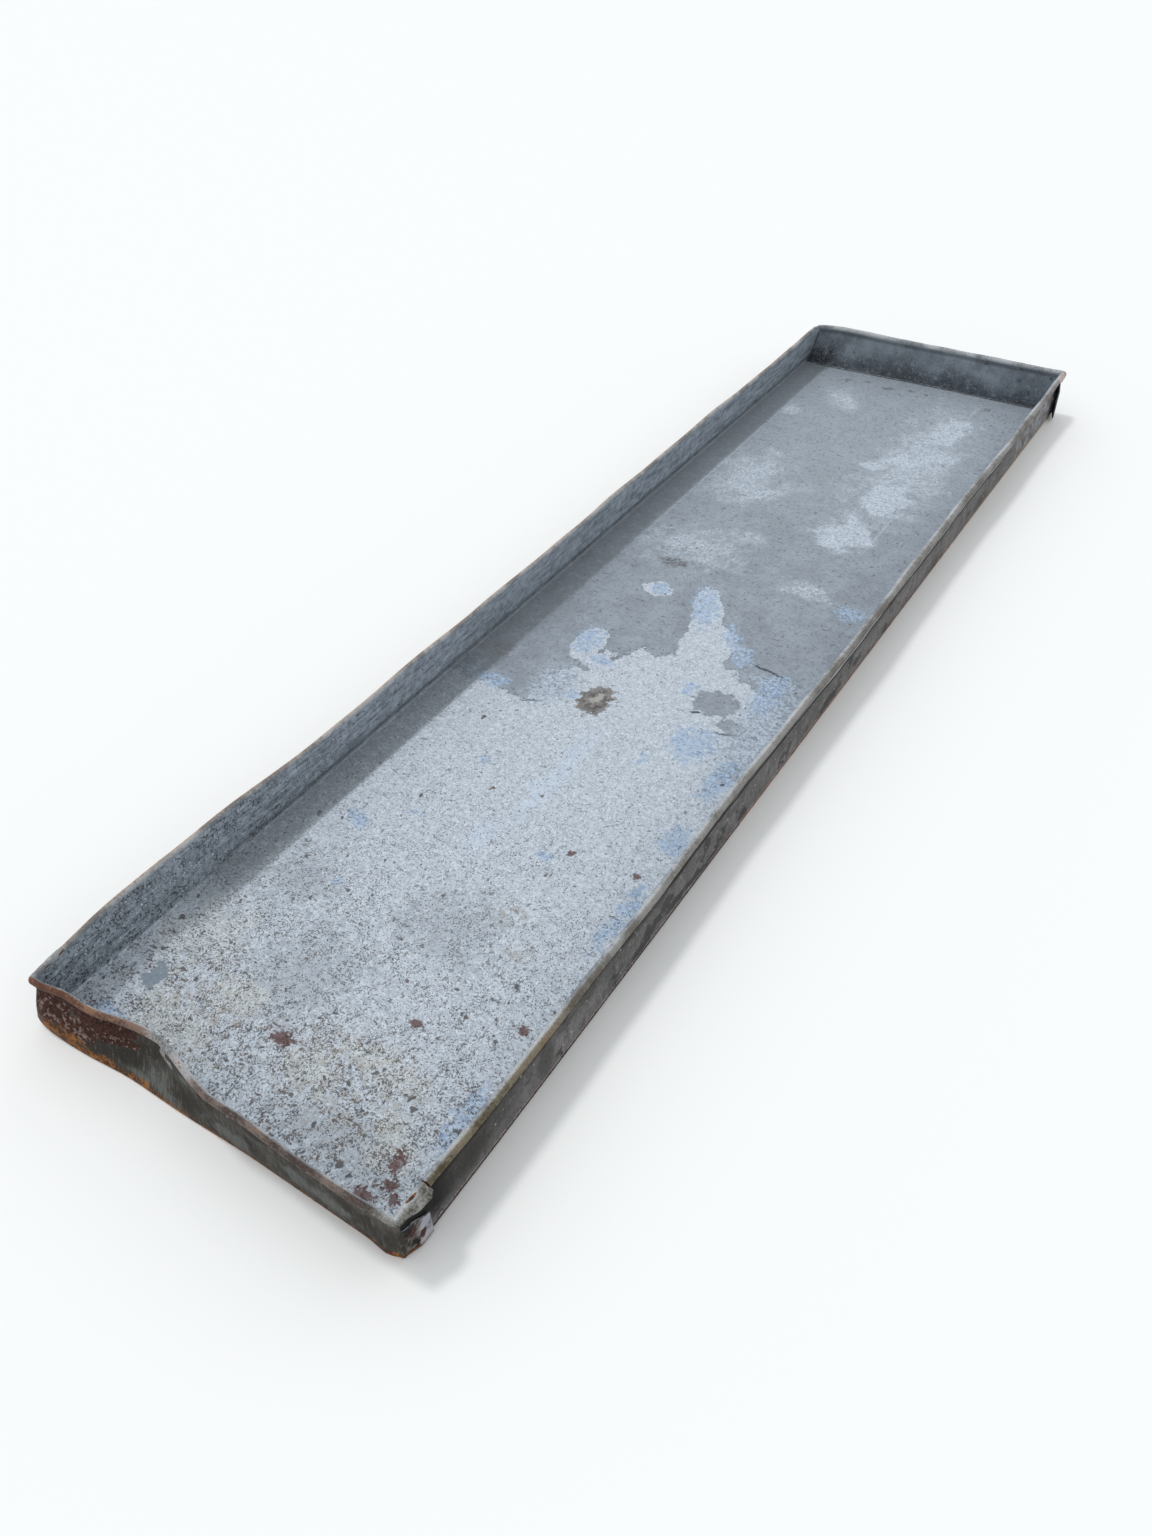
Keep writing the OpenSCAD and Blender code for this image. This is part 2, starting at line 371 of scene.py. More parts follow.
class Shader:
    """One material, built from short calls. Places and sizes are millimetres of the tray as made,
    and light is the light that its coats and tones are seen in."""

    def __init__(self, name, light=ON_FLOOR):
        self.light = light
        self.material = bpy.data.materials.new(name)
        self.material.use_nodes = True
        self.tree = self.material.node_tree
        self.tree.nodes.clear()
        self.place = self.add("ShaderNodeAttribute", {}, "Vector", attribute_name="made")
        parts = self.add("ShaderNodeSeparateXYZ", {"Vector": self.place}, None)
        self.x, self.y, self.z = (Wire(self, parts.outputs[axis]) for axis in "XYZ")

    def add(self, kind, inputs, output=0, **settings):
        """Adds a node, links or sets its inputs, and returns one output, or the node itself."""
        node = self.tree.nodes.new(kind)
        for key, value in settings.items():
            setattr(node, key, value)
        for key, value in inputs.items():
            if isinstance(value, Wire):
                self.tree.links.new(value.socket, node.inputs[key])
            else:
                node.inputs[key].default_value = value
        return node if output is None else Wire(self, node.outputs[output])

    def math(self, operation, a, b=0.0):
        return self.add("ShaderNodeMath", {0: a, 1: b}, operation=operation)

    def most(self, a, b):
        return self.math("MAXIMUM", a, b)

    def ease(self, value, low, high):
        """0 below low and 1 above high, or the other way round if low is the larger."""
        flip = low > high
        inputs = {"Value": value, "From Min": min(low, high), "From Max": max(low, high),
                  "To Min": float(flip), "To Max": float(not flip)}
        return self.add("ShaderNodeMapRange", inputs, "Result", interpolation_type="SMOOTHSTEP")

    def noise(self, size, detail=4.0, rough=0.55, at=None, seed=0, output="Fac"):
        moved = self.add("ShaderNodeMapping", {
            "Vector": at or self.place, "Location": (7.7 * seed, -3.1 * seed, 5.3 * seed),
            "Scale": (1 / size, 1 / size, 1 / size)})
        inputs = {"Vector": moved, "Scale": 1.0, "Detail": detail, "Roughness": rough}
        return self.add("ShaderNodeTexNoise", inputs, output)

    def warp(self, size, reach, at=None, seed=0):
        """The place, shifted by noise, which makes the edges of patches ragged."""
        shift = self.noise(size, 3.0, 0.6, at, seed, "Color")
        centred = self.add("ShaderNodeVectorMath", {0: shift, 1: (0.5, 0.5, 0.5)}, operation="SUBTRACT")
        sized = self.add("ShaderNodeVectorMath", {0: centred, "Scale": 2.0 * reach}, operation="SCALE")
        return self.add("ShaderNodeVectorMath", {0: at or self.place, 1: sized}, operation="ADD")

    def patches(self, at, shapes):
        """Height field of patches: 1 in the middle of each, 0 on its outline, less outside.
        Each is x, y, half width, half length and, if it is turned, its turn in degrees."""
        field = None
        for x, y, half_x, half_y, *turn in shapes:
            placed = self.add("ShaderNodeMapping", {
                "Vector": at, "Location": (x, y, 0), "Rotation": (0, 0, math.radians(sum(turn))),
                "Scale": (half_x, half_y, 1e6)}, vector_type="TEXTURE")
            size = self.add("ShaderNodeVectorMath", {0: placed}, "Value", operation="LENGTH")
            field = 1 - size if field is None else self.most(field, 1 - size)
        return field

    def spots(self, size, density, soft=0.12, at=None, seed=0):
        """Round spots in a share of the cells of a random pattern, each with its own radius."""
        moved = self.add("ShaderNodeMapping", {
            "Vector": at or self.place, "Location": (3.9 * seed, 8.3 * seed, -6.1 * seed),
            "Scale": (1 / size, 1 / size, 1 / size)})
        cells = self.add("ShaderNodeTexVoronoi", {"Vector": moved, "Scale": 1.0}, None)
        pick = self.add("ShaderNodeSeparateColor", {"Color": Wire(self, cells.outputs["Color"])}, None)
        chosen = self.math("GREATER_THAN", Wire(self, pick.outputs[0]), 1 - density)
        radius = (Wire(self, pick.outputs[1]) * 0.35 + 0.2) * chosen
        near = radius - Wire(self, cells.outputs["Distance"])
        return self.ease(near, 0.0, soft)

    def mix(self, factor, a, b):
        return self.add("ShaderNodeMix", {0: factor, 6: a, 7: b}, 2, data_type="RGBA", clamp_factor=True)

    def tones(self, share, dark, pale):
        """From one seen() colour to another."""
        return self.mix(share, seen(*dark, self.light), seen(*pale, self.light))

    def coats(self, colour, *coats):
        """Lays coats over a colour: each is how much it covers, then its seen() colour."""
        for share, *tint in coats:
            colour = self.mix(share, colour, seen(*tint, self.light))
        return colour

    def finish(self, colour, roughness, height, metallic=0.1, specular=0.3):
        """height is in millimetres and only bends the light."""
        normal = self.add("ShaderNodeBump", {"Height": height, "Distance": MM, "Strength": 1.0})
        shaded = self.add("ShaderNodeBsdfPrincipled", {
            "Base Color": colour, "Roughness": roughness, "Metallic": metallic,
            "Specular IOR Level": specular, "Normal": normal})
        self.add("ShaderNodeOutputMaterial", {"Surface": shaded}, None)
        return self.material


# ---------- materials ----------

# Heights between which the inner walls' colours give way to the rims', in millimetres
RIM_FADE = (46.0, 48.4)

# Patches on the tray's floor: x, y, half width, half length and, if turned, the turn in degrees
BARE_ZINC = [(40, -110, 100, 78), (0, 30, 16, 48, 22), (22, -12, 27, 30), (-76, -62, 16, 25),
             (-52, -84, 20, 11), (-30, -138, 52, 52), (-63, 46, 17, 11), (-100, -176, 70, 14)]
FILM_ISLANDS = [(70, -82, 22, 17), (98, -104, 15, 10), (100, -4, 44, 12, -10), (150, -60, 22, 90),
                (-22, -14, 14, 16, 40)]
CRUMBLED = [(122, -100, 30, 90), (-70, -130, 24, 40), (100, -30, 36, 12)]
CHALK = [(71, 500, 19, 44), (84, 434, 16, 12), (52, 412, 28, 14, 25), (20, 380, 13, 9), (64, 322, 30, 44),
         (52, 230, 30, 34)]
CHALK_HAZE = [(62, 400, 44, 150), (-88, 290, 36, 62), (-62, 262, 18, 50, -40), (-32, 176, 20, 10),
              (-74, 518, 16, 34, 35), (-118, 465, 11, 15), (-70, 132, 52, 34), (64, 116, 30, 14)]
CHALK_LINES = [(75, 560, 3.2, 34), (84, 250, 2.0, 60), (-126, 320, 1.4, 300)]
BLUE_SALTS = [(-8, 42, 14, 34, 22), (38, 10, 8, 24, 35), (60, -8, 10, 14), (-78, -58, 13, 22),
              (-50, -80, 14, 6), (-122, -152, 16, 9), (40, -75, 8, 10), (104, -50, 13, 30),
              (78, -140, 20, 22), (122, -245, 12, 18), (-106, -355, 12, 8), (-62, -241, 5, 4),
              (-46, -133, 9, 8), (116, 100, 14, 11), (50, -176, 4, 12), (128, -522, 9, 26),
              (-62, 48, 12, 8), (118, -165, 10, 26), (126, -330, 7, 40), (-75, -412, 6, 5),
              (45, -310, 8, 5), (-70, -325, 6, 5), (-124, -590, 10, 8)]
CRACKS = [(93, -18, 34, 1.5, -7), (99, -113, 14, 1.5, 18), (61, -101, 6, 1.3, 25), (-74, -160, 11, 1.2, 25)]
BROWN_STAINS = [(-24, -132, 17, 21)]
STAIN_MIDDLE = [(-25, -127, 6, 6)]
FAINT_STAINS = [(-74, 96, 16, 10), (-134, -110, 9, 14), (-40, 575, 9, 5), (86, 576, 5, 6), (-93, 575, 5, 6),
                (-12, 583, 4, 3), (8, 580, 3, 3), (-70, 582, 4, 3)]
WHITE_CRUST = [(-122, -505, 24, 36), (-60, -535, 26, 20), (14, -545, 20, 16), (-80, -570, 50, 16),
               (60, -520, 30, 14), (100, -560, 20, 20)]
SMOOTH_BLUE = [(-123, -546, 5, 10, 5)]
OCHRE = [(58, -370, 18, 14), (82, -398, 12, 8), (-80, -545, 50, 40), (50, -540, 70, 44)]
RUST_SPOTS = [(57, -482, 6, 4), (-12, -540, 11, 6), (112, -567, 5, 8), (118, -581, 5, 5), (124, -587, 4, 5),
              (107, -593, 8, 4), (122, -448, 4, 4), (60, -298, 4, 3), (115, -291, 4, 3), (-66, -590, 4, 3)]
DULL_ZINC = [(28, -402, 44, 34), (-35, -490, 42, 54), (72, -572, 50, 22), (-100, -425, 30, 30)]
PALE_STREAK = [(0, -235, 11, 74), (-10, -320, 12, 20)]

# Patches on the long outer walls: y, z, half length, half height
PEELING = [(-352, 9, 14, 5), (-336, 17, 13, 7), (-318, 22, 9, 7), (-300, 12, 16, 5), (-276, 10, 18, 4),
           (-255, 6, 14, 4), (-228, 4, 12, 3), (-386, 3, 4, 3), (-198, 9, 7, 7), (-30, 12, 18, 5),
           (-50, 6, 14, 4), (6, 26, 5, 8), (20, 16, 9, 4), (-256, 27, 5, 9), (90, 8, 6, 4)]
# oil stains, and long thin bands at z 34 to 36 that are painted shade under the roll
OIL_AND_ROLL_SHADE = [(-545, 24, 14, 14), (-470, 22, 10, 20), (-600, 24, 12, 30), (-430, 34, 30, 5), (80, 34, 60, 6),
        (180, 36, 80, 5), (-330, 36, 60, 4)]
TAB_RUST = [(-594, 13, 2.5, 4), (-600, 25, 3, 3)]

# Patches on the near wall: x, z, half width, half height
NEAR_RUST = [(-118, 40, 46, 9), (-95, 33, 26, 8), (-142, 26, 12, 15), (-82, 31, 14, 6), (-124, 24, 22, 10)]
NEAR_ORANGE = [(-134, 8, 22, 9), (-112, 3, 30, 8), (-88, 1, 26, 6), (150, 2, 18, 7)]
NEAR_DARK = [(-86, 22, 34, 12), (-58, 33, 15, 8), (-106, 14, 26, 8), (3, 38, 8, 11), (-12, 25, 9, 11),
             (-28, 18, 12, 12), (38, 20, 5, 10), (44, 42, 16, 6), (116, 30, 7, 8), (132, 28, 5, 12),
             (150, 24, 8, 16), (90, 31, 3, 3)]
NEAR_LIGHT = [(-54, 16, 12, 11), (-68, 8, 13, 5), (-40, 7, 14, 4), (-17, 36, 14, 5), (20, 14, 18, 11),
              (102, 18, 18, 10), (75, 20, 12, 12)]
NEAR_WHITE = [(-47, 41, 3, 6), (25, 44, 4, 4), (-40, 36, 5, 2)]


def specks(s, size, share, seed, at=None):
    """Irregular little marks. share goes from 0, almost none, to 1, about half of the surface."""
    return s.ease(s.noise(size, 2, 0.6, at, seed) + share * 0.24, 0.70, 0.76)


def squiggles(s, size, share, seed, width=0.03, at=None):
    """Short curved dark marks, like the open edges of blisters: pieces of a noise's middle contour."""
    contour = s.math("ABSOLUTE", s.noise(size, 3, 0.6, at, seed) - 0.5)
    shown = s.ease(s.noise(size * 0.9, 2, 0.5, at, seed + 40) + share * 0.3, 0.60, 0.66)
    return s.ease(contour, width, width * 0.4) * shown


def pits(s, size, density, seed, at=None):
    """Dark holes through the zinc, each with its own size, denser where density is higher."""
    return s.spots(size, density, 0.2, at or s.warp(size * 0.5, size * 0.35), seed)


def torn(s, field, reach=1.0, soft=0.05):
    """Turns a height field of patches into patches with ragged, broken outlines."""
    broad = s.noise(19, 9, 0.68, seed=21) - 0.5
    return s.ease(field + broad * (1.7 * reach), -soft * 0.5, soft)


def rim_tint(s, outwards, pale, dark, rust_share):
    """Colours of a rolled rim, always in the floor's light: a light rubbed line along its inner
    edge, its own colours on the side that faces out, and black underneath: painted shadow under the
    roll, with some dirt."""
    blotch = s.noise(34, 7, 0.66, seed=31)
    fine = s.noise(1.7, 3, 0.7, seed=32)
    top = s.mix(s.ease(blotch + (fine - 0.5) * 0.4, 0.36, 0.62), seen(132, 136, 140), seen(190, 193, 196))
    side = s.mix(s.ease(blotch + (fine - 0.5) * 0.4, 0.38, 0.62), dark, pale)
    rust = s.mix(s.ease(fine, 0.4, 0.6), seen(74, 50, 40), seen(140, 100, 74))
    side = s.mix(s.ease(blotch + (fine - 0.5) * 0.7 + rust_share * 0.2, 0.66, 0.76) * 0.8, side, rust)
    tint = s.mix(outwards, top, side)
    rim_z = RIM_Z / MM
    # black under the roll: painted shadow under the roll, with some dirt
    dirt = s.ease(s.z + (fine - 0.5) * 1.6, rim_z + 0.1, rim_z - 1.0) * outwards
    return s.mix(dirt * 0.88, tint, seen(36, 34, 32))


def inside_of_trough():
    """The floor: a dull old film at the far end that has peeled off bare zinc nearer the dent, with
    chalky bloom, blue-white salts, stains, pits and rust. The inner walls are darker and pitted."""
    s = Shader("aged_zinc_inside")
    ragged = s.warp(4.5, 2.6, s.warp(20, 9.0))
    cloud = s.noise(26, 8, 0.66, seed=1)
    grain = s.noise(1.5, 3, 0.75, seed=2)
    grit = s.noise(2.7, 4, 0.8, seed=4)
    mottle = s.noise(7, 7, 0.68, seed=3)
    wobble = mottle - 0.5
    age = s.ease(s.y, -40, -610)
    worse = s.ease(s.y, -330, -600)
    gritty = s.ease(s.noise(11, 5, 0.62, seed=5), 0.38, 0.62)

    # dull film with chalky bloom
    far = s.ease(s.y, 60, 420)
    film = s.tones(far, (147, 155, 164), (160, 169, 178))
    film = s.coats(film,
                   (s.ease(cloud, 0.34, 0.66) * 0.8, 168, 177, 187),
                   (s.ease(mottle, 0.5, 0.72) * 0.5, 126, 133, 142),
                   (s.ease(grain, 0.45, 0.75) * 0.4, 178, 187, 196),
                   (s.ease(grit, 0.56, 0.40) * 0.28, 112, 119, 128))
    spread = s.warp(14, 6)
    wisps = s.noise(24, 12, 0.78, seed=6)
    scratch = s.noise(3.2, 6, 0.8, seed=9)
    thick = s.ease(s.patches(spread, CHALK) + (wisps - 0.5) * 3.6, -0.15, 0.3)
    thin = s.ease(s.patches(spread, CHALK_HAZE) + (wisps - 0.5) * 4.6, -0.4, 0.8)
    powder = s.ease(scratch + wobble * 0.5, 0.38, 0.58)
    dusting = s.most(thick * (0.45 + powder * 0.55), thin * (0.1 + powder * 0.75))
    line = s.ease(s.patches(s.warp(4, 1.2), CHALK_LINES) + (grain - 0.5) * 2.4, 0.0, 0.9) * 0.5
    chalk = s.most(dusting, line)
    film = s.mix(chalk * 0.9, film, s.tones(s.ease(scratch, 0.3, 0.7), (180, 192, 205), (218, 229, 240)))
    film = s.coats(film,
                   (specks(s, 2.4, s.ease(cloud, 0.45, 0.7) * 0.3 - 0.05, 7) * 0.5, 104, 109, 116),
                   (squiggles(s, 7, 0.02, 8) * 0.5, 96, 100, 107))

    # bare zinc, coarser and more pitted towards the near end
    zinc = s.tones(s.ease(grain, 0.3, 0.7), (174, 183, 193), (219, 228, 238))
    zinc = s.coats(zinc,
                   (s.ease(grit, 0.50, 0.34) * 0.4, 138, 146, 155),
                   (s.ease(grit, 0.54, 0.66) * 0.7, 228, 235, 241),
                   (s.ease(mottle, 0.46, 0.66) * 0.4, 166, 175, 185),
                   (s.ease(s.patches(s.warp(30, 14), PALE_STREAK), -0.3, 0.8) * 0.45, 202, 216, 234))
    dull = s.ease(s.patches(s.place, DULL_ZINC) + (cloud + mottle - 1.0) * 2.6, -0.5, 0.8)
    zinc = s.coats(zinc, (dull * 0.42, 150, 157, 165))
    crust = torn(s, s.patches(s.place, WHITE_CRUST), 2.4, 0.3)
    zinc = s.mix(crust * 0.55, zinc, s.tones(s.ease(grain, 0.35, 0.6), (160, 166, 168), (220, 225, 225)))
    ochre = s.ease(s.patches(s.warp(18, 9), OCHRE), -0.4, 0.6) * s.ease(mottle, 0.45, 0.62)
    zinc = s.coats(zinc, (ochre * 0.4, 174, 164, 146))

    field = s.most(s.patches(ragged, BARE_ZINC), (-160 - s.y) * 0.012)
    bare = torn(s, field, 0.45, 0.015)
    rim_of_film = torn(s, field + 0.03, 0.45, 0.03) * (1 - bare) * s.ease(mottle, 0.44, 0.56)
    islands = s.patches(s.warp(12, 6), FILM_ISLANDS)
    bare = bare * (1 - s.ease(islands + wobble * 1.2, -0.05, 0.1))
    colour = s.mix(bare, film, zinc)
    cracks = s.ease(s.patches(s.warp(9, 4), CRACKS) + (grain - 0.5) * 2, -0.2, 0.4)
    colour = s.coats(colour, (s.most(rim_of_film * 0.6, cracks * 0.9), 72, 78, 88))

    # towards the right wall film and zinc are crumbled together
    crumbled = s.ease(s.patches(s.warp(24, 12), CRUMBLED), -0.2, 0.6)
    mixture = s.tones(s.ease(grit + wobble * 0.5, 0.40, 0.60), (138, 149, 163), (198, 211, 225))
    colour = s.mix(crumbled * 0.7, colour, mixture)

    blue = s.ease(s.patches(ragged, BLUE_SALTS) + wobble * 2.6, -0.2, 0.35)
    blue = blue * s.ease(grit + wobble * 0.6, 0.36, 0.52)
    tint = s.tones(s.ease(grit, 0.38, 0.62), (124, 152, 188), (190, 208, 228))
    colour = s.mix(blue * 0.85, colour, tint)
    smooth_blue = s.ease(s.patches(ragged, SMOOTH_BLUE) + wobble * 1.4, -0.1, 0.1)
    colour = s.coats(colour, (smooth_blue * 0.8, 118, 132, 144))
    stain = s.ease(s.patches(ragged, BROWN_STAINS) + wobble * 2.2, -0.05, 0.2)
    brown = s.tones(s.ease(mottle, 0.4, 0.6), (76, 70, 68), (138, 131, 126))
    middle = s.ease(s.patches(ragged, STAIN_MIDDLE) + wobble * 2.2, -0.1, 0.5)
    brown = s.coats(brown, (middle, 172, 168, 162))
    colour = s.mix(stain * 0.9, colour, brown)
    faint = s.ease(s.patches(s.place, FAINT_STAINS) + wobble * 3, -0.3, 0.6) * s.ease(grit, 0.42, 0.54)
    colour = s.coats(colour, (faint * 0.75, 92, 84, 80))

    # pits, white flecks and rust
    tiny = specks(s, 1.5, (age * 0.40 + 0.26) * (0.5 + gritty * 0.6) * bare, 10)
    small = specks(s, 2.5, (worse * 0.32 + age * 0.34) * gritty * bare, 11)
    curls = squiggles(s, 5.0, (age * 0.26 - 0.02) * bare, 12)
    large = pits(s, 5.0, (worse * 0.16 + 0.012) * bare, 17, ragged)
    holes = s.most(s.most(tiny * 0.8, curls * 0.8), s.most(small, large)) * (1 - smooth_blue)
    dark = s.tones(s.ease(s.noise(16, 4, 0.6, seed=13), 0.42, 0.6), (74, 74, 76), (100, 82, 70))
    colour = s.mix(holes * 0.85, colour, dark)
    fleck = specks(s, 2.2, age * 0.16 - 0.1, 14)
    colour = s.coats(colour, (fleck * 0.8, 232, 237, 240))
    rust = s.ease(s.patches(s.place, RUST_SPOTS) + (mottle + grit - 1.0) * 3.4, -0.1, 0.3)
    colour = s.mix(rust * 0.85, colour, s.tones(grain, (66, 42, 40), (122, 84, 76)))

    # a darker strip beside the left wall: painted shade where the floor slopes up to the wall's foot, with
    # some grime
    strip = s.ease(s.x + wobble * 3, -126, -129.5)
    strip_shade_and_grime = s.tones(s.ease(s.y, -110, -170), (136, 141, 145), (112, 117, 122))
    strip_shade_and_grime = s.coats(strip_shade_and_grime, (s.ease(mottle + (grain - 0.5) * 0.5, 0.5, 0.66), 160, 166, 172))
    colour = s.mix(strip * 0.62 * s.ease(s.y, -520, -440), colour, strip_shade_and_grime)

    # inner walls, with grime and painted shade in the left one's crease
    s.light = ON_INNER
    on_left_side = s.ease(s.x, 10, -10)
    wall = s.ease(s.z, 2.6, 4.6)
    drawn = s.noise(3.4, 6, 0.72, s.add("ShaderNodeMapping", {"Vector": s.place, "Scale": (1, 0.12, 1)}), 18)
    inner_wall_colour = s.tones(s.ease(mottle, 0.35, 0.65), (97, 102, 108), (129, 136, 143))
    inner_wall_colour = s.coats(inner_wall_colour,
                    (s.ease(grain, 0.4, 0.7) * 0.4, 150, 157, 164),
                    (s.ease(drawn, 0.50, 0.38) * 0.55, 66, 71, 77),
                    (s.ease(drawn, 0.54, 0.66) * 0.5, 156, 165, 174))
    on_wall = s.most(specks(s, 2.3, age * 0.6 * (0.3 + gritty) + 0.1, 15),
                     squiggles(s, 6, age * 0.7 - 0.1, 19))
    inner_wall_colour = s.coats(inner_wall_colour,
                    (on_wall * 0.8, 44, 46, 50),
                    (specks(s, 2.0, age * 0.35 - 0.02, 16) * 0.7, 182, 190, 196))
    # the left wall's crease is darkened: grime, and painted shade in the fold
    in_crease = s.z + wobble * 5
    crease = s.ease(in_crease, 2.6, 4.6) * s.ease(in_crease, 15, 6.5) * s.ease(s.y, -500, -380)
    inner_wall_colour = s.coats(inner_wall_colour, (crease * 0.42 * on_left_side, 44, 44, 44))
    colour = s.mix(wall, colour, inner_wall_colour)

    # rims
    s.light = ON_FLOOR
    across = s.math("ABSOLUTE", s.x)
    rim_x = RIM_X / MM
    rim = s.most(s.ease(s.z, *RIM_FADE), s.ease(across, rim_x - 1.6, rim_x - 0.8))
    outwards = s.ease(across + on_left_side * 1.6, rim_x - 0.6, rim_x + 1.4)
    olive = s.ease(s.y, -380, -480)
    pale = s.mix(on_left_side, s.tones(olive, (152, 151, 149), (134, 126, 108)), seen(206, 184, 166))
    dark = s.mix(on_left_side, s.tones(olive, (116, 111, 105), (84, 76, 60)), seen(152, 126, 108))
    colour = s.mix(rim, colour, rim_tint(s, outwards, pale, dark, age * 0.2))

    rough = 0.62 + bare * 0.1 + chalk * 0.1 + holes * 0.1 + wobble * 0.3
    height = bare * -0.2 + holes * -0.35 + (grain + grit) * (bare * 0.14 + 0.07) + mottle * 0.3 + crust * 0.1
    return s.finish(colour, rough, height, metallic=0.1, specular=0.14)


def inside_of_ends():
    """Inner faces of the end walls, with their rims."""
    s = Shader("aged_zinc_ends", ON_INNER)
    grain = s.noise(1.5, 3, 0.75, seed=41)
    mottle = s.noise(8, 7, 0.66, seed=42)
    wobble = mottle - 0.5
    cloud = s.noise(34, 6, 0.62, seed=43)
    wall = s.tones(s.ease(cloud, 0.35, 0.65), (84, 89, 95), (110, 117, 124))
    low = s.ease(s.z + (cloud - 0.5) * 20, 32, 6)
    wall = s.coats(wall, (low * 0.85, 44, 47, 52))
    # painted shadow of the left wall, darkening the end wall towards its left corner, low down
    left = s.ease(s.x + (cloud - 0.5) * 40, -112, -142) * s.ease(s.z, 40, 14)
    wall = s.coats(wall,
                   (left * 0.8, 26, 28, 31),
                   (s.ease(mottle, 0.5, 0.7) * 0.45, 124, 131, 138))
    near = s.ease(s.y, 0, -10)
    holes = s.most(specks(s, 2.4, near * 0.5 + 0.06, 44), pits(s, 7, 0.12, 45))
    wall = s.coats(wall,
                   (holes * 0.7, 40, 42, 46),
                   (s.ease(grain, 0.45, 0.75) * 0.35, 140, 146, 152))
    under = s.ease(s.z, 40.5, 43.5) * s.ease(s.z, 47.2, 45.5)
    wall = s.coats(wall, (under * 0.5, 48, 50, 50))
    rim_y = (HALF_L + RIM_R) / MM
    along = s.math("ABSOLUTE", s.y)
    across = s.math("ABSOLUTE", s.x)
    rim = s.most(s.ease(s.z, *RIM_FADE), s.ease(along, rim_y - 1.6, rim_y - 0.8))
    rim = s.most(rim, s.ease(across, RIM_X / MM - 1.2, RIM_X / MM - 0.6) * s.ease(s.z, 44, 44.6))
    outwards = s.most(s.ease(along + near * 1.6, rim_y - 0.6, rim_y + 1.2),
                      s.ease(across, RIM_X / MM, RIM_X / MM + 2.6))
    tan = s.ease(s.x, -50, -110) * near
    pale = s.mix(near, seen(206, 190, 180), s.mix(tan, seen(132, 120, 114), seen(172, 136, 112)))
    dark = s.mix(near, seen(142, 114, 98), s.mix(tan, seen(76, 64, 60), seen(98, 66, 52)))
    knee = s.ease(s.x + wobble * 20, -66, -50) * s.ease(s.x + wobble * 20, -2, -14) * near
    pale = s.mix(knee, pale, seen(186, 186, 188))
    dark = s.mix(knee, dark, seen(110, 108, 106))
    pale = s.mix(s.ease(s.x, 128, 146) * near, pale, seen(154, 154, 150))
    dark = s.mix(s.ease(s.x, 128, 146) * near, dark, seen(74, 70, 62))
    rusting = near * 0.5 + tan * 0.4 - s.ease(s.x, 130, 150) * 1.2
    colour = s.mix(rim, wall, rim_tint(s, outwards, pale, dark, rusting))
    rough = 0.66 + wobble * 0.3
    height = grain * 0.14 + mottle * 0.35 + holes * -0.25
    return s.finish(colour, rough, height, metallic=0.1, specular=0.14)


def wall_patches(s, at, axis, shapes):
    """As Shader.patches, for a wall: the shapes are given by their place on the axis and by z."""
    axes = s.add("ShaderNodeSeparateXYZ", {"Vector": at}, None)
    flat = s.add("ShaderNodeCombineXYZ", {
        "X": Wire(s, axes.outputs[axis]), "Y": Wire(s, axes.outputs["Z"]), "Z": 0.0})
    return s.patches(flat, shapes)


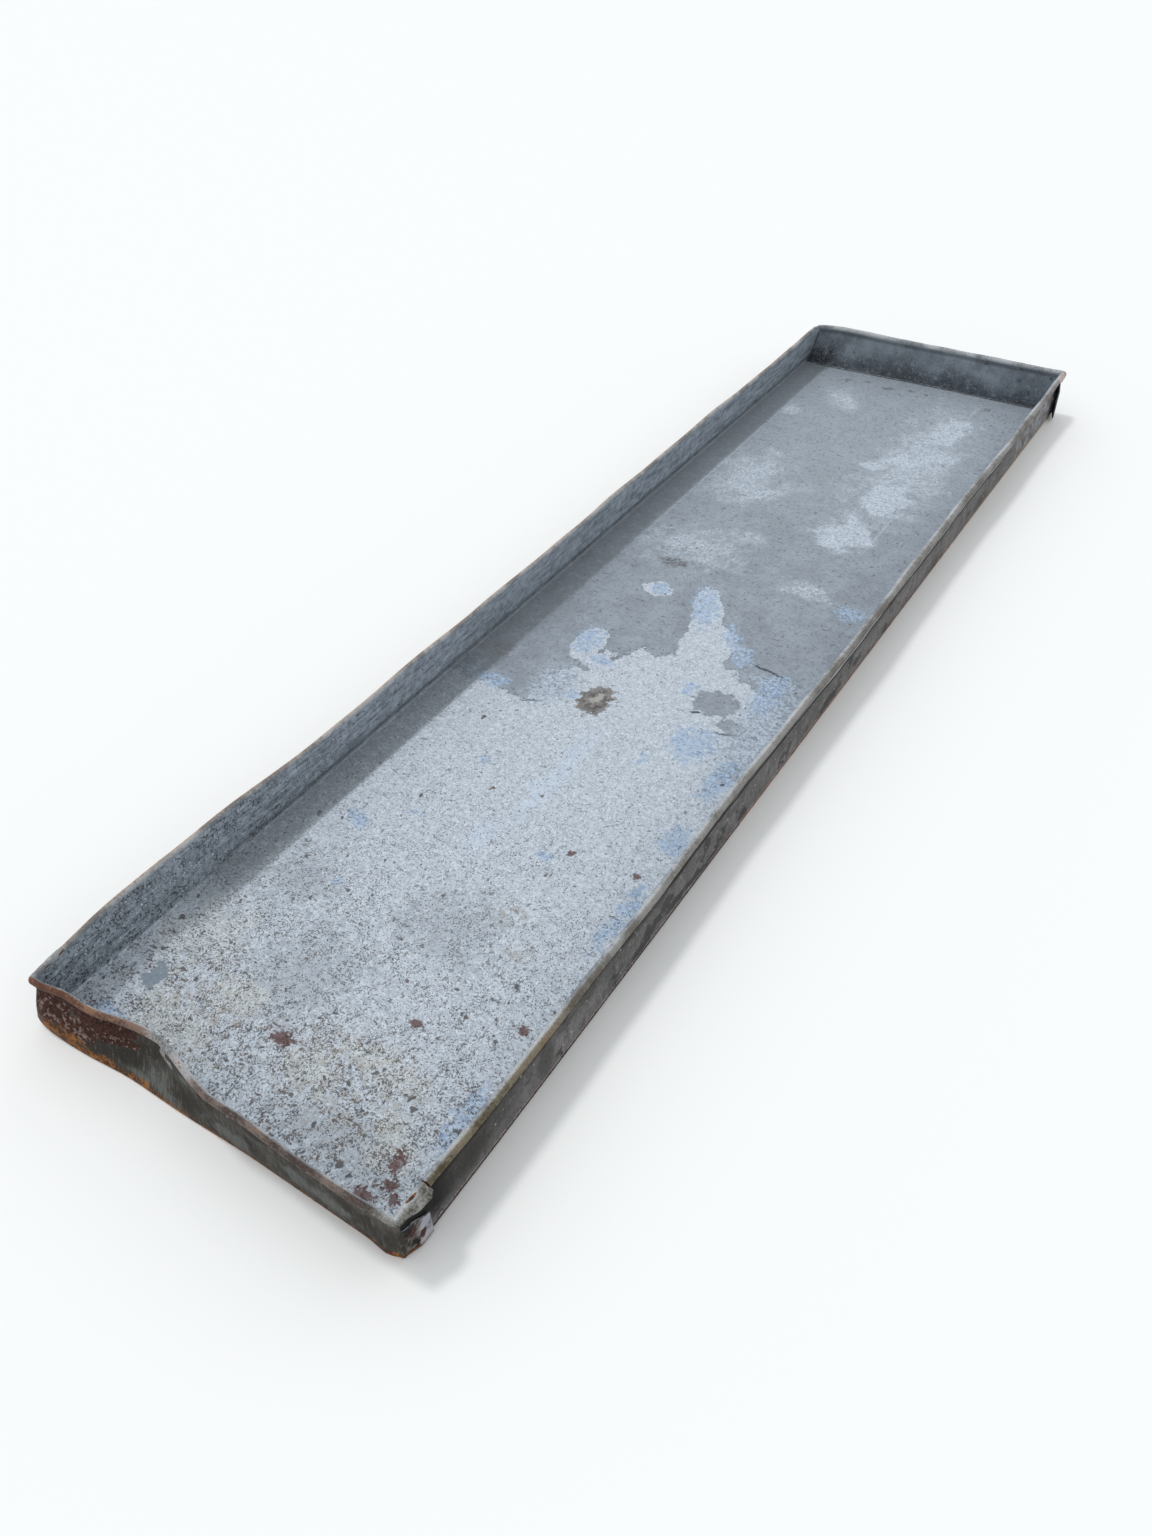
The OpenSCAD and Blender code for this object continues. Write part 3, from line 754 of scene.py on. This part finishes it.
def outside_metal(name, seed):
    """Outer faces: dull grey-brown zinc with black peeling stains, drips and a rusty lower edge."""
    s = Shader(name, ON_OUTER)
    grain = s.noise(1.6, 3, 0.75, seed=seed)
    mottle = s.noise(8, 6, 0.64, seed=seed + 1)
    wobble = mottle - 0.5
    cloud = s.noise(45, 5, 0.6, seed=seed + 2)
    ragged = s.warp(2.6, 1.8, s.warp(10, 4.0))
    colour = s.tones(s.ease(cloud, 0.35, 0.65), (78, 76, 75), (104, 101, 101))
    colour = s.coats(colour,
                     (s.ease(s.z + (cloud - 0.5) * 16, 16, 36) * 0.5, 64, 61, 60),
                     (s.ease(mottle, 0.48, 0.68) * 0.5, 124, 122, 122),
                     (s.ease(grain, 0.45, 0.75) * 0.45, 140, 138, 138),
                     (s.ease(s.noise(3.2, 5, 0.75, seed=seed + 8), 0.48, 0.38) * 0.45, 52, 51, 50))
    streaks = s.noise(1.0, 5, 0.66, s.add("ShaderNodeMapping", {
        "Vector": s.place, "Scale": (0.16, 0.16, 0.03)}), seed + 3)
    colour = s.coats(colour, (s.ease(streaks, 0.52, 0.66) * 0.5, 64, 62, 60))
    # oil stains, and bands of painted shade under the roll
    oil_and_roll_shade = s.ease(wall_patches(s, s.warp(14, 6), "Y", OIL_AND_ROLL_SHADE), -0.3, 0.5)
    colour = s.coats(colour, (oil_and_roll_shade * 0.6, 56, 55, 52))
    peeled = s.ease(wall_patches(s, ragged, "Y", PEELING) + wobble * 3.0, -0.02, 0.08)
    peeled = s.most(peeled, squiggles(s, 20, 0.16, seed + 6, 0.05) * s.ease(s.z, 34, 18))
    colour = s.coats(colour, (peeled * 0.8, 42, 41, 42))
    # darker towards the near end and higher up the wall
    near_end_darkening = s.ease(s.y + wobble * 60, -440, -560) * s.ease(s.z + wobble * 20, 0, 26)
    colour = s.coats(colour, (near_end_darkening * 0.7, 36, 35, 32))
    # painted deep shade on the wall just beyond the torn tab at the near end
    near_end_darkening = s.ease(s.y, -552, -582) * s.ease(s.z + (s.y + 582) * 0.3, 6, 22)
    colour = s.coats(colour, (near_end_darkening * 0.85, 16, 15, 14))

    # black painted shadow along the groove under the roll, and paint-like zinc above it where the roll is
    # loose
    groove = 36.5 - s.ease(s.y, -120, -20) * 3.6 + (s.noise(30, 4, 0.5, seed=seed + 7) - 0.5) * 4
    from_groove = s.z - groove
    some = s.ease(s.y, -345, -300) * s.ease(s.y, 460, 380)
    above = s.ease(from_groove, 0.6, 1.6) * some * s.ease(s.y, -120, -40)
    colour = s.coats(colour, (above * 0.8, 150, 151, 153))
    # the black line along the groove is painted shadow under the roll
    line = s.ease(s.math("ABSOLUTE", from_groove), 1.9, 0.7) * some
    colour = s.coats(colour, (line * 0.9, 22, 20, 18))
    # near the near end the wall up to the roll is painted dark instead, as painted shadow under the roll
    roll_shadow_near_end = s.ease(from_groove + wobble * 12, -1, 3) * s.ease(s.y, -320, -360)
    colour = s.coats(colour, (roll_shadow_near_end * 0.75, 32, 29, 27))
    bright = s.ease(s.y + wobble * 120, 400, 520) * s.ease(mottle, 0.42, 0.6)
    colour = s.coats(colour, (bright * 0.6, 146, 146, 150))
    fleck = s.spots(3.2, 0.05, 0.2, seed=seed + 4)
    colour = s.coats(colour, (fleck * 0.5, 178, 180, 182))

    # underside: oily, with broad rust where it touched wet ground
    below = s.ease(s.z, 1.6, 1.1)
    wet = s.ease(s.noise(60, 7, 0.66, seed=seed + 5), 0.46, 0.6)
    under = s.mix(wet, seen(70, 68, 66, ON_OUTER), s.mix(grain, seen(84, 60, 46), seen(122, 92, 68)))
    colour = s.mix(below, colour, under)
    scuffed = s.ease(s.z + wobble * 4, 7.4, 5.6) * s.ease(grain, 0.42, 0.56) * s.ease(s.y, 60, -60)
    colour = s.coats(colour, (scuffed * 0.6, 168, 150, 144))
    foot = s.ease(s.z + wobble * 2.5, 5.4, 4.6) * s.ease(s.z, 0.2, 0.9)
    rust = s.tones(s.ease(mottle, 0.4, 0.6), (84, 52, 34), (130, 92, 64))
    rust = s.coats(rust,
                   (s.ease(s.y + wobble * 160, -160, -260), 44, 20, 15),
                   (s.ease(s.y + wobble * 160, 220, 380), 142, 120, 96))
    colour = s.mix(foot * 0.92, colour, rust)
    rough = 0.6 + wobble * 0.35 + peeled * -0.15
    height = grain * 0.14 + mottle * 0.3 + peeled * -0.15
    return s.finish(colour, rough, height, metallic=0.05, specular=0.08)


def outside_of_near_end():
    """The dented wall's outer face: maroon rust flaking white at the upper left, orange rust along
    the lower edge, and dark grey-green zinc elsewhere."""
    s = Shader("rusty_zinc_outside", ON_OUTER)
    grain = s.noise(1.5, 3, 0.75, seed=61)
    mottle = s.noise(7, 6, 0.66, seed=62)
    wobble = mottle - 0.5
    cloud = s.noise(32, 5, 0.6, seed=63)
    ragged = s.warp(2.6, 2.0, s.warp(12, 5.0))
    streaks = s.noise(1.6, 5, 0.7, s.add("ShaderNodeMapping", {
        "Vector": s.place, "Scale": (1, 0.5, 0.16), "Rotation": (0, 0.25, 0)}), 68)
    colour = s.tones(s.ease(cloud, 0.35, 0.65), (48, 46, 42), (66, 64, 60))
    colour = s.coats(colour, (s.ease(mottle, 0.48, 0.68) * 0.4, 92, 91, 87))
    # lighter patches: scuffs, and painted light on the dent's facets
    light = s.ease(wall_patches(s, s.warp(9, 4), "X", NEAR_LIGHT) + wobble * 1.6, -0.2, 0.5)
    colour = s.coats(colour, (light * 0.75, 92, 94, 92))
    # dark patches: dirt, and painted shade in the dent's hollows and under the rim
    dirt_and_dent_shade = s.ease(wall_patches(s, s.warp(9, 5), "X", NEAR_DARK) + wobble * 2.0, -0.25, 0.4)
    colour = s.coats(colour,
                     (dirt_and_dent_shade * 0.75, 38, 35, 31),
                     (s.ease(streaks, 0.52, 0.40) * 0.4, 40, 38, 35),
                     (s.ease(streaks + (grain - 0.5) * 0.3, 0.54, 0.68) * 0.45, 108, 104, 98))
    browned = s.ease(s.z + wobble * 14, 37, 42)
    colour = s.coats(colour, (browned * 0.6, 66, 54, 50))
    smeared = s.ease(s.x + wobble * 30, 100, 120) * s.ease(s.z + wobble * 12, 34, 42)
    colour = s.coats(colour, (smeared * 0.5, 102, 92, 86))
    white = s.ease(wall_patches(s, ragged, "X", NEAR_WHITE) + wobble * 2.5, -0.1, 0.3)
    colour = s.coats(colour, (white * 0.55, 150, 150, 152))
    maroon = s.ease(wall_patches(s, ragged, "X", NEAR_RUST) + wobble * 2.0, -0.15, 0.2)
    deep = s.tones(s.ease(grain, 0.35, 0.65), (26, 15, 12), (70, 42, 34))
    colour = s.mix(maroon * 0.9, colour, deep)
    low_edge = s.ease(s.z + wobble * 10, 38, 30)
    flaking = s.ease(s.noise(3.4, 5, 0.7, seed=64) + low_edge * 0.06, 0.58, 0.65) * maroon
    colour = s.coats(colour, (flaking * 0.55, 146, 124, 118))
    orange = s.ease(wall_patches(s, ragged, "X", NEAR_ORANGE) + wobble * 2.4, -0.2, 0.4)
    orange = s.most(orange, s.ease(s.z + wobble * 6, 5.0, 2.5) * 0.85)
    rust = s.tones(s.ease(grain + wobble, 0.4, 0.6), (60, 34, 18), (136, 88, 44))
    colour = s.mix(orange * 0.85, colour, rust)

    # the right tab: black near the corner, pale and scuffed at its torn edge, rust along the bottom
    tab_y = s.y + HALF_L / MM
    on_tab = s.ease(tab_y, 1.0, 4.0) * s.ease(s.x, 0, 10)
    tab = s.tones(s.ease(mottle, 0.40, 0.60), (20, 18, 17), (110, 102, 96))
    worn_pale = s.ease(tab_y - s.z * 0.15 + wobble * 14, 9, 14)
    scuffed = s.tones(s.ease(mottle, 0.35, 0.6), (98, 98, 104), (148, 148, 156))
    tab = s.mix(worn_pale, tab, scuffed)
    tab = s.mix(s.ease(wall_patches(s, ragged, "Y", TAB_RUST) + wobble * 1.2, -0.1, 0.2), tab,
                s.tones(grain, (34, 20, 22), (80, 54, 52)))
    tab = s.coats(tab, (s.ease(s.z + wobble * 4, 5.5, 3.0) * 0.85, 112, 66, 34))
    colour = s.mix(on_tab * 0.92, colour, tab)
    rough = 0.66 + wobble * 0.3 + maroon * 0.15
    height = grain * 0.16 + mottle * 0.35 + maroon * 0.12 + flaking * 0.15
    return s.finish(colour, rough, height, metallic=0.05, specular=0.08)


def rusty_wire():
    """Steel wire in the rims, brown with orange blooms."""
    s = Shader("rusty_wire")
    mottle = s.noise(3, 5, 0.65, seed=71)
    grain = s.noise(0.8, 3, 0.7, seed=72)
    colour = s.tones(s.ease(mottle, 0.4, 0.6), (70, 48, 36), (126, 84, 54))
    colour = s.coats(colour, (s.ease(grain, 0.6, 0.75) * 0.5, 132, 126, 120))
    return s.finish(colour, 0.8 + (grain - 0.5) * 0.3, grain * 0.1 + mottle * 0.15)


def dull_metal(name, seed, dark, pale):
    """Rivet zinc or solder: dull, with scuffed pale high spots and dirt in the hollows."""
    s = Shader(name)
    mottle = s.noise(3.5, 5, 0.62, seed=seed)
    grain = s.noise(0.9, 3, 0.7, seed=seed + 1)
    colour = s.tones(s.ease(mottle, 0.38, 0.62), dark, pale)
    colour = s.mix(s.ease(grain, 0.3, 0.45), seen(58, 56, 54), colour)
    return s.finish(colour, 0.5 + (mottle - 0.5) * 0.4, grain * 0.06 + mottle * 0.12, metallic=0.5)


# ---------- trough sheet ----------

def trough_half_section():
    """Middle line of the right half of the section, from the roll's raw edge to the centre, as x, z."""
    wall_x = HALF_W + SHEET / 2
    bend = FLOOR_BEND_R + SHEET / 2
    bend_centre = (HALF_W - FLOOR_BEND_R, FLOOR_MID_Z + bend)
    roll = arc((RIM_X, RIM_Z), ROLL_MID_R, ROLL_OPEN - math.pi, math.pi, ROLL_STEPS)
    wall = line((wall_x, RIM_Z), (wall_x, bend_centre[1]), 18)
    corner = arc(bend_centre, bend, 0, -math.pi / 2, 5)
    floor = line((bend_centre[0], FLOOR_MID_Z), (0, FLOOR_MID_Z), 30)
    return chain(roll, wall, corner, floor)


def build_trough(inside, outside):
    half = trough_half_section()
    section = np.concatenate([half, half[::-1][1:] * (-1, 1)])
    main = line(-LONG_RIM_END, LONG_RIM_END, LONG_STEPS)
    tail = line(LONG_RIM_END, TROUGH_END, 6)[1:]
    stations = np.concatenate([-tail[::-1], main, tail])
    grid = np.zeros((len(stations), len(section), 3))
    grid[:, :, 0] = section[None, :, 0]
    grid[:, :, 2] = section[None, :, 1]
    grid[:, :, 1] = stations[:, None]
    keep = np.ones((len(stations) - 1, len(section) - 1), bool)
    notches = (slice(0, len(tail)), slice(-len(tail), None))
    for rows in notches:
        keep[rows, :ROLL_STEPS] = False
        keep[rows, -ROLL_STEPS:] = False
    for side in (-1, 1):
        for end in (-1, 1):
            punch(grid, keep, (side * (HALF_W + SHEET / 2), end * RIVET_Y, RIVET_Z), HOLE_R)
    # in the corner notches the walls end just under the end plates' rims
    for rows in notches:
        for column in (ROLL_STEPS, -ROLL_STEPS - 1):
            grid[rows, column, 2] -= 2 * GAP
    rolled = grid.copy()
    edge = np.zeros(len(section))
    edge[:ROLL_STEPS + 1] = edge[-ROLL_STEPS - 1:] = 1
    raw = np.zeros(len(section))
    raw[:3] = raw[-3:] = 1
    lumps = jitter(rolled, 0.045, 0.6 * MM, 1) - rolled + jitter(rolled, 0.009, 0.16 * MM, 2) - rolled
    rolled += lumps * edge[None, :, None]
    rolled += (jitter(rolled, 0.005, 0.5 * MM, 3) - rolled) * raw[None, :, None]
    bent = worn(rolled).reshape(rolled.shape)
    return sheet("trough_sheet_worn", grid, bent, keep, inside, outside)


# ---------- end plates ----------

def corner_path(end, spring_left, spring_right):
    """Stations round one end: place and outward direction of the end plate's inner face, and the
    distance along a tab, which is 0 on the end wall and in the corners."""
    cx, cy = HALF_W + SHEET + GAP - END_BEND_R, HALF_L - END_BEND_R
    stations = [(x, -HALF_L, 0, -1, 0) for x in line(-cx, cx, ACROSS_STEPS)]
    for side, spring in ((1, spring_right), (-1, spring_left)):
        run = [(side * (cx + END_BEND_R * math.cos(a)), -cy + END_BEND_R * math.sin(a),
                side * math.cos(a), math.sin(a), 0) for a in line(-math.pi / 2, -spring, 6)[1:]]
        x, y, way_x, way_y, _ = run[-1]
        run += [(x + side * math.sin(spring) * d, y + math.cos(spring) * d, way_x, way_y, d)
                for d in line(0, TAB_L, 14)[1:]]
        stations = stations + run if side > 0 else run[::-1] + stations
    stations = np.array(stations)
    stations[:, (1, 3)] *= -end
    return stations[:, :2], stations[:, 2:4], stations[:, 4]


def build_end(name, end, springs, tab_shapes, crushed, inside, outside):
    """An end plate: end is -1 at the near end and 1 at the far end. springs, tab_shapes and crushed,
    how wide the tongues are pressed, are for the left and the right corner."""
    places, ways, along = corner_path(end, *springs)
    straight_p, straight_w, _ = corner_path(end, 0, 0)
    count = len(places)
    right = np.arange(count) > count // 2
    top = RIM_Z - RIM_R + 0.2 * MM
    foot = SHEET + END_BEND_R

    flange_rows, bend_rows, wall_rows, neck_rows = 6, 3, 13, 2
    flange = line(-FLANGE_L, -END_BEND_R, flange_rows)
    bend = arc((-END_BEND_R, foot), END_BEND_R + SHEET / 2, -math.pi / 2, 0, bend_rows)
    rows = flange_rows + bend_rows + wall_rows + neck_rows + ROLL_STEPS + 1
    grid = np.zeros((rows, count, 3))
    row = 0

    def put(r, out, z, use_places, use_ways):
        grid[r, :, :2] = use_places + use_ways * np.asarray(out).reshape(-1, 1)
        grid[r, :, 2] = z

    for u, z in [(u, SHEET / 2) for u in flange[:-1]] + list(bend[:-1]):
        put(row, u, z, places, ways)
        row += 1
    reach = along / TAB_L
    tab_low = np.full(count, foot)
    tab_high = np.full(count, top)
    for is_right, shape in zip((False, True), tab_shapes):
        here = (right == is_right) & (along > 0)
        tab_low[here] = foot + shape["low"](reach[here]) * MM
        tab_high[here] = top - shape["high"](reach[here]) * MM
        places[here, 1] += end * shape.get("shorter", 0) * MM * reach[here]
    for v in line(0, 1, wall_rows):
        put(row, SHEET / 2, tab_low + (tab_high - tab_low) * v, places, ways)
        row += 1
    put(row, SHEET / 2, (top + RIM_Z) / 2, straight_p, straight_w)
    row += 1
    taper = 1 + 0.12 * ease(reach / 0.7) - 0.30 * ease((reach - 0.8) / 0.2)
    wide = 1 + (np.where(right, crushed[1], crushed[0]) - 1) * ease(reach / 0.6)
    for a in line(math.pi, ROLL_OPEN - math.pi, ROLL_STEPS):
        radius = ROLL_MID_R * taper
        out = RIM_R + radius * ((wide - 1) + wide * math.cos(a))
        up = RIM_Z + radius * math.sin(a) / np.sqrt(wide)
        put(row, out, up, straight_p, straight_w)
        row += 1
    assert row == rows, (row, rows)

    keep = np.ones((rows - 1, count - 1), bool)
    on_tab = (along[:-1] > 0) | (along[1:] > 0)
    in_corner = np.abs(ways[:-1, 0]) + np.abs(ways[1:, 0]) > 1e-6
    off_flange = in_corner | on_tab | (np.abs(places[:-1, 0]) > HALF_W - FLOOR_BEND_R)
    keep[:flange_rows + bend_rows, off_flange] = False
    first_neck = flange_rows + bend_rows + wall_rows
    keep[first_neck:first_neck + neck_rows, on_tab] = False

    for is_right in (False, True):
        column = np.argmin(np.abs(along - TAB_L / 2) + 1.0 * (right != is_right))
        wanted = (*places[column] + ways[column] * SHEET / 2, RIVET_Z)
        if tab_shapes[is_right]["hole"]:
            punch(grid, keep, wanted, HOLE_R)

    rolled = np.zeros(rows)
    rolled[-ROLL_STEPS - 1:] = 1
    raw = np.zeros(rows)
    raw[-3:] = 1
    rough_tab = ease((along - 4 * MM) / (12 * MM))
    lumps = jitter(grid, 0.032, 0.6 * MM, 4) - grid + jitter(grid, 0.008, 0.2 * MM, 5) - grid
    battered = jitter(grid, 0.0075, 1.5 * MM, 7) - grid
    made = grid.copy()
    grid += lumps * np.maximum(rolled[:, None], 0.9 * rough_tab[None, :])[:, :, None]
    grid += battered * (rolled[:, None] * ease(reach / 0.5)[None, :] * 0.8)[:, :, None]
    grid += (jitter(grid, 0.005, 0.6 * MM, 6) - grid) * raw[:, None, None]
    bent = worn(grid).reshape(grid.shape)
    if end < 0:
        return sheet(name, made, bent, keep, inside, outside)
    return sheet(name, made[:, ::-1], bent[:, ::-1], keep[:, ::-1], inside, outside)


# ---------- wires, rivets and solder ----------

def build_long_wire(name, side, material):
    path = [(side * RIM_X, y, RIM_Z) for y in line(-LONG_RIM_END, LONG_RIM_END, LONG_STEPS)]
    return bar(name, path, WIRE_R - GAP, material)


def build_end_wire(name, end, material):
    """Along the end and round both corners, inside the tongues."""
    corner = RIM_R + 0.25 * MM
    cx, cy = HALF_W + RIM_R - corner, HALF_L + RIM_R - corner
    tongue = line(LONG_RIM_END + 0.6 * MM, cy, 6)
    right = [(RIM_X, y) for y in tongue[:-1]] + [tuple(p) for p in arc((cx, cy), corner, 0, math.pi / 2, 6)]
    across = [(x, HALF_L + RIM_R) for x in line(cx, -cx, ACROSS_STEPS)[1:-1]]
    outline = right + across + [(-x, y) for x, y in reversed(right)]
    return bar(name, [(x, end * y, RIM_Z) for x, y in outline], WIRE_R - GAP, material)


def build_rivets(material):
    """One rivet at each left corner: flat head inside, domed head outside, both a little battered."""
    shank, head, tall = 1.6 * MM, 3.3 * MM, 1.2 * MM
    grip = 2 * SHEET + 3 * GAP
    profile = [(-tall * 0.5, 0), (-tall * 0.5, head * 0.9), (-tall * 0.35, head), (-GAP, head), (0, shank),
               (grip, shank), (grip + GAP, head), (grip + 0.25 * tall, head * 0.97)]
    profile += [(grip + tall * math.cos(a), head * math.sin(a)) for a in (1.15, 0.85, 0.55, 0.25)]
    profile.append((grip + tall, 0))
    sides, made, faces = 24, [], []
    for end in (-1, 1):
        first = len(made)
        for out, radius in profile:
            ring = sides if radius else 1
            for j in range(ring):
                a = j * 2 * math.pi / sides
                y, z = radius * math.cos(a), radius * math.sin(a)
                made.append((-HALF_W - out, end * RIVET_Y + y, RIVET_Z + z))
        rings = len(profile) - 2
        tip = first + 1 + rings * sides
        for j in range(sides):
            k = (j + 1) % sides
            faces.append((first, first + 1 + j, first + 1 + k))
            for i in range(rings - 1):
                a = first + 1 + i * sides
                faces.append((a + j, a + sides + j, a + sides + k, a + k))
            a = first + 1 + (rings - 1) * sides
            faces.append((a + j, tip, a + k))
    made = np.array(made)
    obj = new_object("corner_rivets_worn", worn(jitter(made, 0.003, 0.12 * MM, 9)), faces, [material])
    store_made(obj, made)
    smooth_shade(obj)
    return obj


def build_solder(name, end, material):
    """A lumpy fillet of solder along the floor, up both bends and up both walls."""
    leg, wall_top = 1.1 * MM, 40 * MM
    sunk = 0.45 * leg
    bend_x, bend_z = HALF_W - FLOOR_BEND_R, FLOOR_TOP + FLOOR_BEND_R
    inner = FLOOR_BEND_R - sunk
    right = [(HALF_W - sunk, z) for z in line(wall_top, bend_z, 26)[:-1]]
    right += [tuple(p) for p in arc((bend_x, bend_z), inner, 0, -math.pi / 2, 5)]
    across = [(x, FLOOR_TOP + sunk) for x in line(bend_x, -bend_x, 220)[1:-1]]
    outline = right + across + [(-x, z) for x, z in reversed(right)]
    lumps = [1 + 0.45 * noise.noise(Vector((x, z, end * 0.1)) / 0.009) for x, z in outline]
    path = [(x, end * (HALF_L - sunk), z) for x, z in outline]
    return bar(name, path, leg * np.array(lumps), material, 12, 0.35 * MM)


# ---------- camera, light and floor ----------

def build_camera():
    """Looks down along the tray from its near right, at the photograph's viewing angle."""
    azimuth, elevation, roll = (math.radians(angle) for angle in (35.51, 42.67, 3.14))
    aim_across, aim_along, distance = 0.127, -0.2086, 0.893
    aim = Vector((aim_across * 2 * RIM_X, aim_along * 2 * (HALF_L + RIM_R), RIM_Z + RIM_R / 2))
    back = Vector((math.sin(azimuth) * math.cos(elevation),
                   -math.cos(azimuth) * math.cos(elevation), math.sin(elevation)))
    camera = bpy.data.cameras.new("camera")
    camera.sensor_fit = "VERTICAL"
    camera.sensor_height = 36
    camera.lens = 27.13
    camera.clip_start = 0.05
    obj = bpy.data.objects.new("camera", camera)
    bpy.context.scene.collection.objects.link(obj)
    obj.location = aim + back * distance
    turn = (-back).to_track_quat("-Z", "Y").to_matrix()
    obj.rotation_euler = (turn @ Euler((0, 0, -roll)).to_matrix()).to_euler()
    bpy.context.scene.camera = obj


def plain_material(name, colour, roughness=0.6):
    material = bpy.data.materials.new(name)
    material.use_nodes = True
    bsdf = material.node_tree.nodes["Principled BSDF"]
    bsdf.inputs["Base Color"].default_value = (*colour, 1)
    bsdf.inputs["Roughness"].default_value = roughness
    return material


def build_stage():
    bpy.ops.mesh.primitive_plane_add(size=14)
    floor = bpy.context.object
    floor.name = "floor"
    floor.data.materials.append(plain_material("pale_floor", (0.86, 0.86, 0.85), 0.9))
    world = bpy.data.worlds.new("studio")
    bpy.context.scene.world = world
    world.use_nodes = True
    world.node_tree.nodes["Background"].inputs[0].default_value = (0.95, 0.98, 1.0, 1)
    world.node_tree.nodes["Background"].inputs[1].default_value = 0.90
    sun = bpy.data.lights.new("key", "SUN")
    sun.energy = 0.9
    sun.angle = math.radians(9)
    obj = bpy.data.objects.new("key", sun)
    bpy.context.scene.collection.objects.link(obj)
    light_elevation = math.radians(66)
    towards = Vector((-math.cos(light_elevation), 0.05, math.sin(light_elevation)))
    obj.rotation_euler = towards.to_track_quat("Z", "Y").to_euler()
    bpy.context.scene.view_settings.view_transform = "Standard"


# ---------- build ----------

def full_tab(corner_low, corner_high):
    """A whole tab with chamfered corners."""
    return {"low": lambda t: 0.8 + corner_low * ease((t - 0.72) / 0.28),
            "high": lambda t: 0.5 + corner_high * ease((t - 0.72) / 0.28), "hole": True}


def torn_tab():
    """The near right tab: its upper part is torn off, through the rivet hole."""
    return {"low": lambda t: 0.4 + 1.4 * t, "high": lambda t: 8 + 12 * t + 1.0 * np.sin(9 * t),
            "hole": False, "shorter": 3.5}


zinc_inside = inside_of_trough()
zinc_ends = inside_of_ends()
wire = rusty_wire()

trough = build_trough(zinc_inside, outside_metal("dull_zinc_outside", 51))
finish_piece(trough, "trough_sheet")

near = build_end("near_end_plate_worn", -1, (0, math.radians(2)), (full_tab(6, 6), torn_tab()),
                 (1.0, 1.7), zinc_ends, outside_of_near_end())
finish_piece(near, "near_end_plate")

far = build_end("far_end_plate_worn", 1, (0, math.radians(15)), (full_tab(7, 6), full_tab(6, 7)),
                (1.0, 1.0), zinc_ends, outside_metal("dull_zinc_far_end", 81))
finish_piece(far, "far_end_plate")

for place, build, end in (("left", build_long_wire, -1), ("right", build_long_wire, 1),
                          ("near", build_end_wire, -1), ("far", build_end_wire, 1)):
    finish_piece(build(f"{place}_rim_wire_worn", end, wire), f"{place}_rim_wire")

rivet_zinc = dull_metal("rivet_zinc", 91, (104, 106, 108), (158, 160, 160))
finish_piece(build_rivets(rivet_zinc), "corner_rivets")

solder = dull_metal("dull_solder", 95, (84, 88, 92), (122, 127, 132))
for place, end in (("near", -1), ("far", 1)):
    finish_piece(build_solder(f"{place}_end_solder_worn", end, solder), f"{place}_end_solder")

build_camera()
build_stage()
